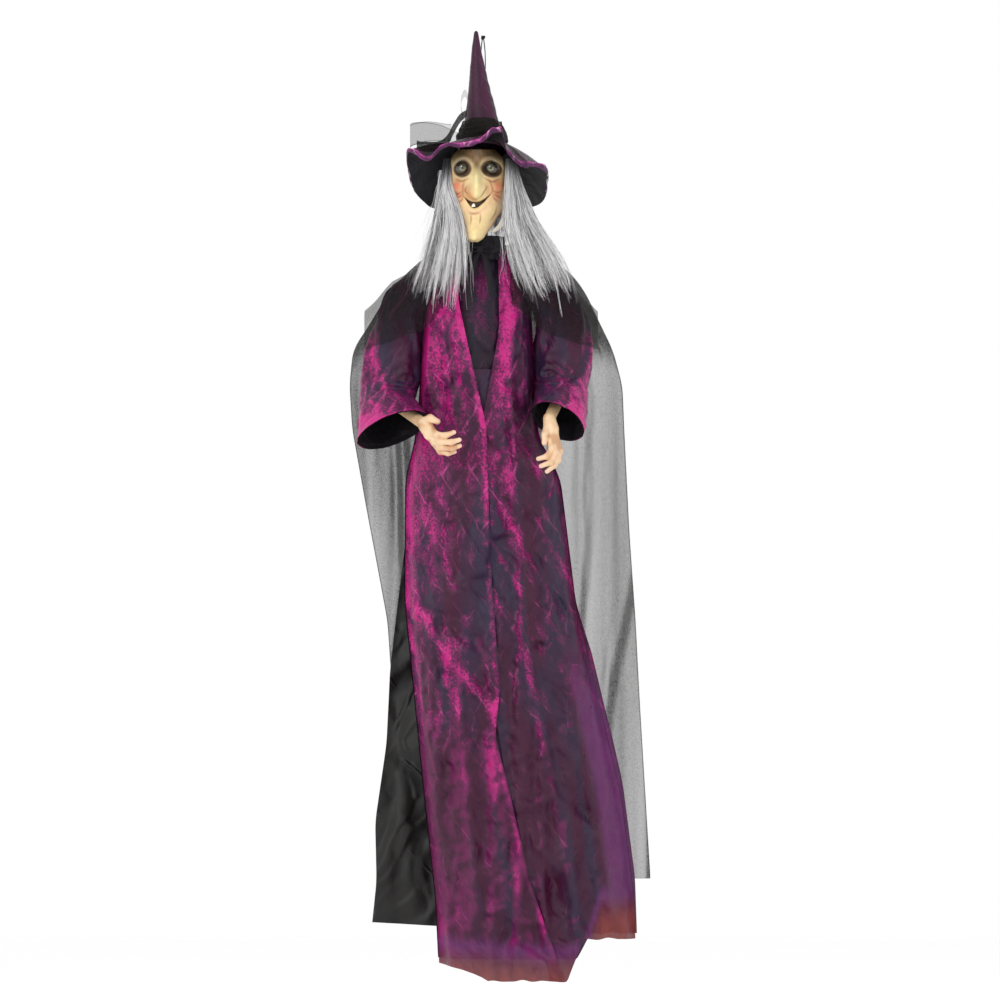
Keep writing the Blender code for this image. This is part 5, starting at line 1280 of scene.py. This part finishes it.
# ---- hair -----------------------------------------------------------------------------------
# (x, z) down the edge nearest the face and down the outer edge of each fall beside the face.
FALLS = {
    "left": (((-0.072, -0.262), (-0.074, -0.315), (-0.064, -0.355), (-0.049, -0.405),
              (-0.043, -0.45), (-0.044, -0.5), (-0.047, -0.545), (-0.058, -0.592)),
             ((-0.082, -0.262), (-0.089, -0.315), (-0.096, -0.355), (-0.107, -0.405),
              (-0.121, -0.45), (-0.138, -0.5), (-0.152, -0.545), (-0.16, -0.6))),
    "right": (((0.053, -0.262), (0.053, -0.335), (0.05, -0.4), (0.059, -0.45), (0.07, -0.5),
               (0.086, -0.545), (0.11, -0.59)),
              ((0.07, -0.272), (0.09, -0.34), (0.117, -0.4), (0.148, -0.45), (0.176, -0.5),
               (0.193, -0.545), (0.204, -0.596))),
}
FALL_DEPTH = ((-0.62, -0.116), (-0.53, -0.112), (-0.45, -0.094), (-0.36, -0.07), (-0.3, -0.052),
    (-0.262, -0.036))
STRAND_STEPS = 18
WISPS = 6
# The thinnest fibre's radius, and how much thicker one can be.
FIBRE = (0.00034, 0.0003)


def fall_locks(side, count):
    """The lines of a fall's locks, side by side from the face outwards, each with its own length."""
    inner, outer = (np.array(edge) for edge in FALLS[side])
    locks = []
    for number in range(count):
        share = number / (count - 1)
        flat = inner + (outer - inner) * share
        flat[-1, 1] += (0.022, -0.018, 0.004, -0.03, 0.014)[number % 5]
        depth = at(FALL_DEPTH, flat[:, 1]) + 0.026 * share * ramp(-0.5, -0.36, flat[:, 1])
        locks.append(np.column_stack([flat[:, 0], depth + 0.004 * (number % 3), flat[:, 1]]))
    return locks


def back_locks():
    """The lines of the curtain of hair behind, round the back of the head."""
    locks = []
    for turn in np.linspace(-1.8, 1.8, 34):
        side, back = math.sin(turn), math.cos(turn)
        x, y = FACE[0] + 0.074 * side, 0.006 + 0.088 * back
        falls = ((0.0, -0.288 - 0.034 * max(back, 0.0)), (0.006, -0.35), (0.012, -0.42),
                 (0.013, -0.475 - 0.02 * abs(side)))
        locks.append([(x + out * side, y + out * back, z) for out, z in falls])
    return locks


def strand(random, path, spread, wisp, share):
    """One fibre's middle line: free at its root, drawn into its wisp towards the tip."""
    place = share * wisp["reach"] * (1.0 - 0.25 * random.random() ** 2) * (len(path) - 1)
    low = np.minimum(place.astype(int), len(path) - 2)
    line = path[low] + (path[low + 1] - path[low]) * (place - low)[:, None]
    angle, out = TURN * random.random(), math.sqrt(random.random())
    free = np.array((out * math.cos(angle), 0.55 * out * math.sin(angle)))
    wide = np.interp(share, (0.0, 0.45, 1.0), spread)[:, None]
    drawn = 0.9 * ramp(0.2, 0.95, share)[:, None]
    offset = free * wide * (1.0 - drawn) + (wisp["place"] * wide + 0.0014 * free) * drawn
    phase, bend, turns = random.random(3)
    wave = (0.0008 + 0.0016 * bend) * share * np.sin(TURN * (phase + (1.2 + 1.6 * turns) * share))
    wave = wave + 0.0034 * share * np.sin(TURN * (wisp["phase"] + 1.5 * share))
    offset[:, 0] += wave
    offset[:, 1] += 0.6 * wave
    stray = random.random() < wisp["frizz"]
    if stray:
        offset[:, 0] += (random.random() - 0.5) * 0.1 * share ** 1.6
        offset[:, 0] += 0.0022 * np.sin(TURN * (phase + 3.0 * share))
        offset[:, 1] -= 0.006 * share
    line[:, :2] += offset
    return line, angle, stray


def hair_fall(name, locks, spread, strands, seed, frizz, root):
    """Fine tapered fibres in locks that part into pointed wisps, light and dark, with painted shadow
    darkening each strand towards its root.
    """
    random = np.random.default_rng(SEED + seed)
    share = np.linspace(0.0, 1.0, STRAND_STEPS)
    taper = np.interp(share, (0.0, 0.1, 0.6, 1.0), (0.8, 1.0, 0.9, 0.2))
    vertices, shades = [], []
    for lock in locks:
        path = spline(lock, 60)
        wisps = [{"reach": 1.0 - 0.3 * random.random(), "phase": random.random(), "frizz": frizz,
                  "place": random.uniform(-0.8, 0.8, 2) * (1.0, 0.5), "tone": random.random()}
                 for _ in range(WISPS)]
        for number in range(strands):
            wisp = wisps[number % len(wisps)]
            line, angle, stray = strand(random, path, spread, wisp, share)
            radius = (FIBRE[0] + FIBRE[1] * random.random()) * taper * (0.7 if stray else 1.0)
            for corner in range(3):
                turn = TURN * corner / 3 + angle
                vertices.append(line + radius[:, None] * np.array((math.cos(turn), math.sin(turn), 0.0)))
            tone = 0.28 + 0.6 * (wisp["tone"] > 0.3) + 0.5 * (random.random() - 0.5)
            # Painted shadow: each strand darkens towards its root, under the hat.
            shades.append(np.tile(np.clip(tone, 0.0, 1.0) * ramp(root[0], root[1], share), 3))
    count = len(vertices) // 3
    index = np.arange(count * 3 * STRAND_STEPS).reshape(count, 3, STRAND_STEPS)
    following = np.roll(index, -1, axis=1)
    corners = [index[..., :-1], index[..., 1:], following[..., 1:], following[..., :-1]]
    points = np.array(vertices).reshape(-1, 3)
    return piece(name, points, np.stack(corners, axis=-1).reshape(-1, 4), HAIR, shade=np.concatenate(shades))


def hair():
    """The long falls beside the face and the curtain behind."""
    left = hair_fall("hair_fall_left", fall_locks("left", 12), (0.005, 0.0085, 0.0095), 84, 1, 0.11,
                     (0.04, 0.25))
    right = hair_fall("hair_fall_right", fall_locks("right", 13), (0.004, 0.0078, 0.0095), 58, 2, 0.1,
                      (-0.02, 0.16))
    back = hair_fall("hair_fall_back", back_locks(), (0.009, 0.012, 0.01), 42, 3, 0.05, (-0.3, 0.1))
    ends = ((left, "hair_left", -0.36, -0.58), (right, "hair_right", -0.36, -0.58),
            (back, "hair_back", -0.4, -0.52))
    for made, node, start, end in ends:
        dress(made, node=node)
        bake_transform(made)


# ---- neck -----------------------------------------------------------------------------------
def collar():
    """A soft stand-up collar with uneven gathers."""
    around = by_turn(180)
    level = by_row(40)
    radius = 0.0465 + 0.01 * ramp(0.45, 1.0, level) + 0.0025 * np.sin(math.pi * level)
    gather = 0.0016 * np.cos(around * 26 + 3.0 * noise(around * 4, level * 3.0, 160)) * ramp(0.1, 0.8, level)
    radius = radius + gather + 0.0022 * noise(around * 2.5, level * 2.2, 161)
    z = -0.4335 - 0.052 * level + 0.003 * noise(around * 2.0, level, 162) * (1 - level)
    points = join(-radius * np.cos(around), -1.02 * radius * np.sin(around), z)
    made = dress(cloth_piece("collar_cloth", points, BLACK, True), "torso", "collar")


def ribbon(name, width, seed, twist, path):
    """A flat satin ribbon along a path, slightly cupped and twisted."""
    line = spline(path, 60)[:, None, :]
    share = by_row(60)
    cross = by_column(9, -0.5, 0.5)
    turn = twist * share + 0.5 * noise(share * 3.0, 0.0, seed)
    out = cross * width * np.interp(share, (0.0, 0.12, 1.0), (0.45, 1.0, 1.0))
    points = line + join(np.cos(turn) * out, 0.0016 * (4 * cross ** 2 - 1) - np.sin(turn) * out, 0.0)
    made = dress(cloth_piece(name, points, BLACK), "torso")


def neck_ribbon():
    """The knot of the cape's ribbon under the chin, its two tails and its two small loops."""
    turns = by_turn(40)
    part = by_row(16)
    size = np.sqrt(np.maximum(1.0 - (2 * part - 1) ** 4, 0.003)) * (0.0075 + 0.0007 * np.cos(7 * part))
    size = size * (1.0 + 0.1 * np.cos(turns * 5 + 4 * part))
    y = -0.06 - 0.75 * size * np.sin(turns)
    points = join(-0.0066 - size * np.cos(turns), y, -0.456 - 0.0155 * part)
    knot = cloth_piece("ribbon_knot", points, BLACK, True)
    dress(knot, "torso", "neck_ribbon")
    ribbon("ribbon_tail_left", 0.012, 170, 0.5,
           ((-0.008, -0.064, -0.468), (-0.018, -0.078, -0.488), (-0.028, -0.1, -0.535),
            (-0.031, -0.113, -0.59)))
    ribbon("ribbon_tail_right", 0.012, 171, -0.6,
           ((-0.004, -0.064, -0.468), (0.006, -0.078, -0.486), (0.014, -0.098, -0.528),
            (0.019, -0.112, -0.566)))
    ribbon("ribbon_loop_left", 0.013, 172, 0.2,
           ((-0.009, -0.064, -0.463), (-0.026, -0.07, -0.457), (-0.042, -0.068, -0.464),
            (-0.03, -0.062, -0.471), (-0.01, -0.062, -0.466)))
    ribbon("ribbon_loop_right", 0.013, 173, -0.2,
           ((-0.004, -0.064, -0.463), (0.014, -0.07, -0.456), (0.03, -0.068, -0.462),
            (0.018, -0.062, -0.471), (-0.003, -0.062, -0.466)))


# ---- hands ----------------------------------------------------------------------------------
# The palm, fingers and thumb of each hand: (x, y, z, radius) along each, wrist first.
HAND_BONES = (
    (
        ((-0.132, -0.118, -0.8475, 0.0125), (-0.124, -0.132, -0.854, 0.0135),
         (-0.114, -0.146, -0.866, 0.0115)),
        ((-0.129, -0.126, -0.856, 0.0115), (-0.118, -0.14, -0.872, 0.0125), (-0.11, -0.147, -0.882, 0.0105)),
        ((-0.116, -0.146, -0.862, 0.009), (-0.102, -0.166, -0.8735, 0.007), (-0.082, -0.176, -0.875, 0.0062),
         (-0.064, -0.176, -0.868, 0.0052)),
        ((-0.112, -0.148, -0.874, 0.0088), (-0.094, -0.17, -0.8885, 0.0068), (-0.07, -0.18, -0.89, 0.0061),
         (-0.052, -0.178, -0.8845, 0.0052)),
        ((-0.11, -0.146, -0.883, 0.0084), (-0.09, -0.164, -0.901, 0.0066), (-0.068, -0.172, -0.903, 0.0059),
         (-0.051, -0.17, -0.8975, 0.005)),
        ((-0.11, -0.14, -0.888, 0.0076), (-0.094, -0.154, -0.91, 0.006), (-0.077, -0.16, -0.914, 0.0053),
         (-0.062, -0.158, -0.9105, 0.0046)),
        ((-0.13, -0.126, -0.844, 0.0105), (-0.116, -0.148, -0.837, 0.0082), (-0.1, -0.162, -0.844, 0.0066)),
    ),
    (
        ((0.1455, -0.103, -0.8365, 0.0125), (0.147, -0.112, -0.852, 0.013), (0.149, -0.12, -0.872, 0.0118)),
        ((0.148, -0.104, -0.84, 0.012), (0.154, -0.114, -0.86, 0.0125), (0.157, -0.12, -0.875, 0.0108)),
        ((0.147, -0.124, -0.876, 0.0086), (0.152, -0.146, -0.903, 0.0066), (0.141, -0.155, -0.921, 0.0059),
         (0.122, -0.157, -0.926, 0.0051)),
        ((0.153, -0.125, -0.88, 0.0086), (0.16, -0.145, -0.913, 0.0066), (0.149, -0.154, -0.934, 0.0059),
         (0.128, -0.156, -0.942, 0.0051)),
        ((0.158, -0.121, -0.881, 0.0082), (0.1665, -0.139, -0.917, 0.0064), (0.158, -0.148, -0.94, 0.0057),
         (0.141, -0.151, -0.954, 0.0049)),
        ((0.161, -0.115, -0.878, 0.0074), (0.17, -0.13, -0.909, 0.0058), (0.166, -0.14, -0.93, 0.0051),
         (0.153, -0.144, -0.943, 0.0045)),
        ((0.144, -0.112, -0.85, 0.01), (0.137, -0.134, -0.873, 0.0074), (0.1355, -0.143, -0.891, 0.006)),
    ),
)
HAND_STEP = 0.0009


def bone_distance(places, start, end):
    """Distance to a rounded bone that tapers from start's radius to end's."""
    a, b = np.array(start[:3]), np.array(end[:3])
    way = b - a
    share = np.clip(((places - a) @ way) / (way @ way), 0.0, 1.0)
    nearest = a + share[..., None] * way
    return np.linalg.norm(places - nearest, axis=-1) - (start[3] + (end[3] - start[3]) * share)


def soft_union(first, second, blend):
    """Joins two signed distances with a fillet."""
    share = np.clip(0.5 + 0.5 * (second - first) / blend, 0.0, 1.0)
    return second + (first - second) * share - blend * share * (1.0 - share)


def hand_field(bones, places):
    """Signed distance to a hand: smooth where fingers meet the palm, creased at the knuckles."""
    total = None
    for number, chain in enumerate(bones):
        limb = None
        for start, end in zip(chain[:-1], chain[1:]):
            part = bone_distance(places, start, end)
            limb = part if limb is None else soft_union(limb, part, 0.003)
        if number >= 2:
            for joint in chain[1:-1]:
                far = np.linalg.norm(places - np.array(joint[:3]), axis=-1)
                limb = limb - 0.0009 * np.exp(-((far - joint[3]) / 0.004) ** 2)
        total = limb if total is None else soft_union(total, limb, 0.008 if number < 2 else 0.0018)
    return total


def hand(side, name):
    """A moulded vinyl hand with painted knuckles and nails."""
    bones = HAND_BONES[side]
    joints = np.array([joint[:3] for chain in bones for joint in chain])
    low, high = joints.min(axis=0) - 0.02, joints.max(axis=0) + 0.02
    axes = [np.arange(a, b, HAND_STEP) for a, b in zip(low, high)]
    places = np.stack(np.meshgrid(*axes, indexing="ij"), axis=-1)
    grid = openvdb.FloatGrid(0.02)
    grid.copyFromArray(hand_field(bones, places).astype(np.float32))
    corners, triangles, quads = grid.convertToPolygons(0.0, 0.0)
    corners = low + np.asarray(corners) * HAND_STEP
    crease = noise(corners[:, 0] / 0.012, corners[:, 2] / 0.012, 180)
    layers = [(ramp(-0.2, 0.9, crease), (206, 160, 118))]
    for chain in bones[2:]:
        for joint in chain[1:-1]:
            far = np.linalg.norm(corners - np.array(joint[:3]), axis=1)
            layers.append((0.5 * hump(far, 0.0, 0.0085), (214, 158, 126)))
        nail = np.array(chain[-1][:3]) + np.array((0.002, -0.004, 0.001))
        layers.append((0.9 * hump(np.linalg.norm(corners - nail, axis=1), 0.0, 0.004), (238, 196, 186)))
    made = piece(f"vinyl_hand_{name}", corners, [*quads, *triangles], SKIN,
                 paint=lay_on((236, 206, 168), corners.shape, layers))
    dress(made, f"hand_{name}", f"hand_{name}")


# ---- the CAD parts that stay ----------------------------------------------------------------
def cad_finishes():
    """Procedural finishes for every shown CAD node, by its material slot."""
    finishes = {
        "steel": hard("steel", (150, 152, 156), (112, 112, 116), 0.3, 1.0, 900.0, 0.00005),
        "black_plastic": hard("black_plastic", (22, 22, 24), (40, 40, 42), 0.48),
        "grey_plastic": hard("grey_plastic", (92, 92, 90), (112, 110, 106), 0.5),
        "white_plastic": hard("white_plastic", (214, 212, 202), (190, 186, 172), 0.45),
        "battery": hard("battery", (56, 60, 66), (150, 118, 54), 0.32, 0.6),
        "board": hard("board", (22, 84, 50), (44, 112, 70), 0.4),
        "red_plastic": hard("red_plastic", (170, 26, 24), (132, 18, 18), 0.4),
        "hand_skin": hard("arm_vinyl", (224, 190, 150), (206, 166, 124), 0.5),
        "mask_skin": hard("mask_vinyl", (232, 206, 156), (208, 172, 120), 0.5),
        "black_taffeta": BLACK, "black_tulle": BLACK, "magenta_organza": BLACK, "plum_satin": BLACK,
        "hair": hard("wig_base", (88, 86, 86), (60, 58, 58), 0.8), "eye": GLOSS, "cord": BLACK,
    }
    slots = {entry["node"]: entry["material_slot"] for entry in frame["record"]["subparts"]}
    for name, shown in NODES.items():
        finish = finishes[slots[name]]
        shown.data.materials.clear()
        shown.data.materials.append(finish)

def floor():
    """A pale floor, far enough below the hem to stay clear of it."""
    finish = Finish("floor", cloth=False, Roughness=0.8)
    finish.into("Base Color", finish.mix(finish.noise(2.0, 2.0), (252.177,) * 3, (253.876,) * 3))
    ways = ((-1, -1), (1, -1), (1, 1), (-1, 1))
    corners = [(x * FLOOR_HALF, y * FLOOR_HALF, FLOOR_Z) for x, y in ways]
    piece("floor", corners, [(0, 1, 2, 3)], finish.material, smooth=False)


camera()
studio()
floor()
hanging_cord()
robe()
robe_back()
cape()
shoulder_drape(0, "left")
shoulder_drape(1, "right")
underskirt()
sleeve(0, "left")
sleeve(1, "right")
hat_cone()
hat_brim()
hat_net()
mask()
eyeball(0, "left")
eyeball(1, "right")
tooth()
hair()
collar()
neck_ribbon()
hand(0, "left")
hand(1, "right")
cad_finishes()
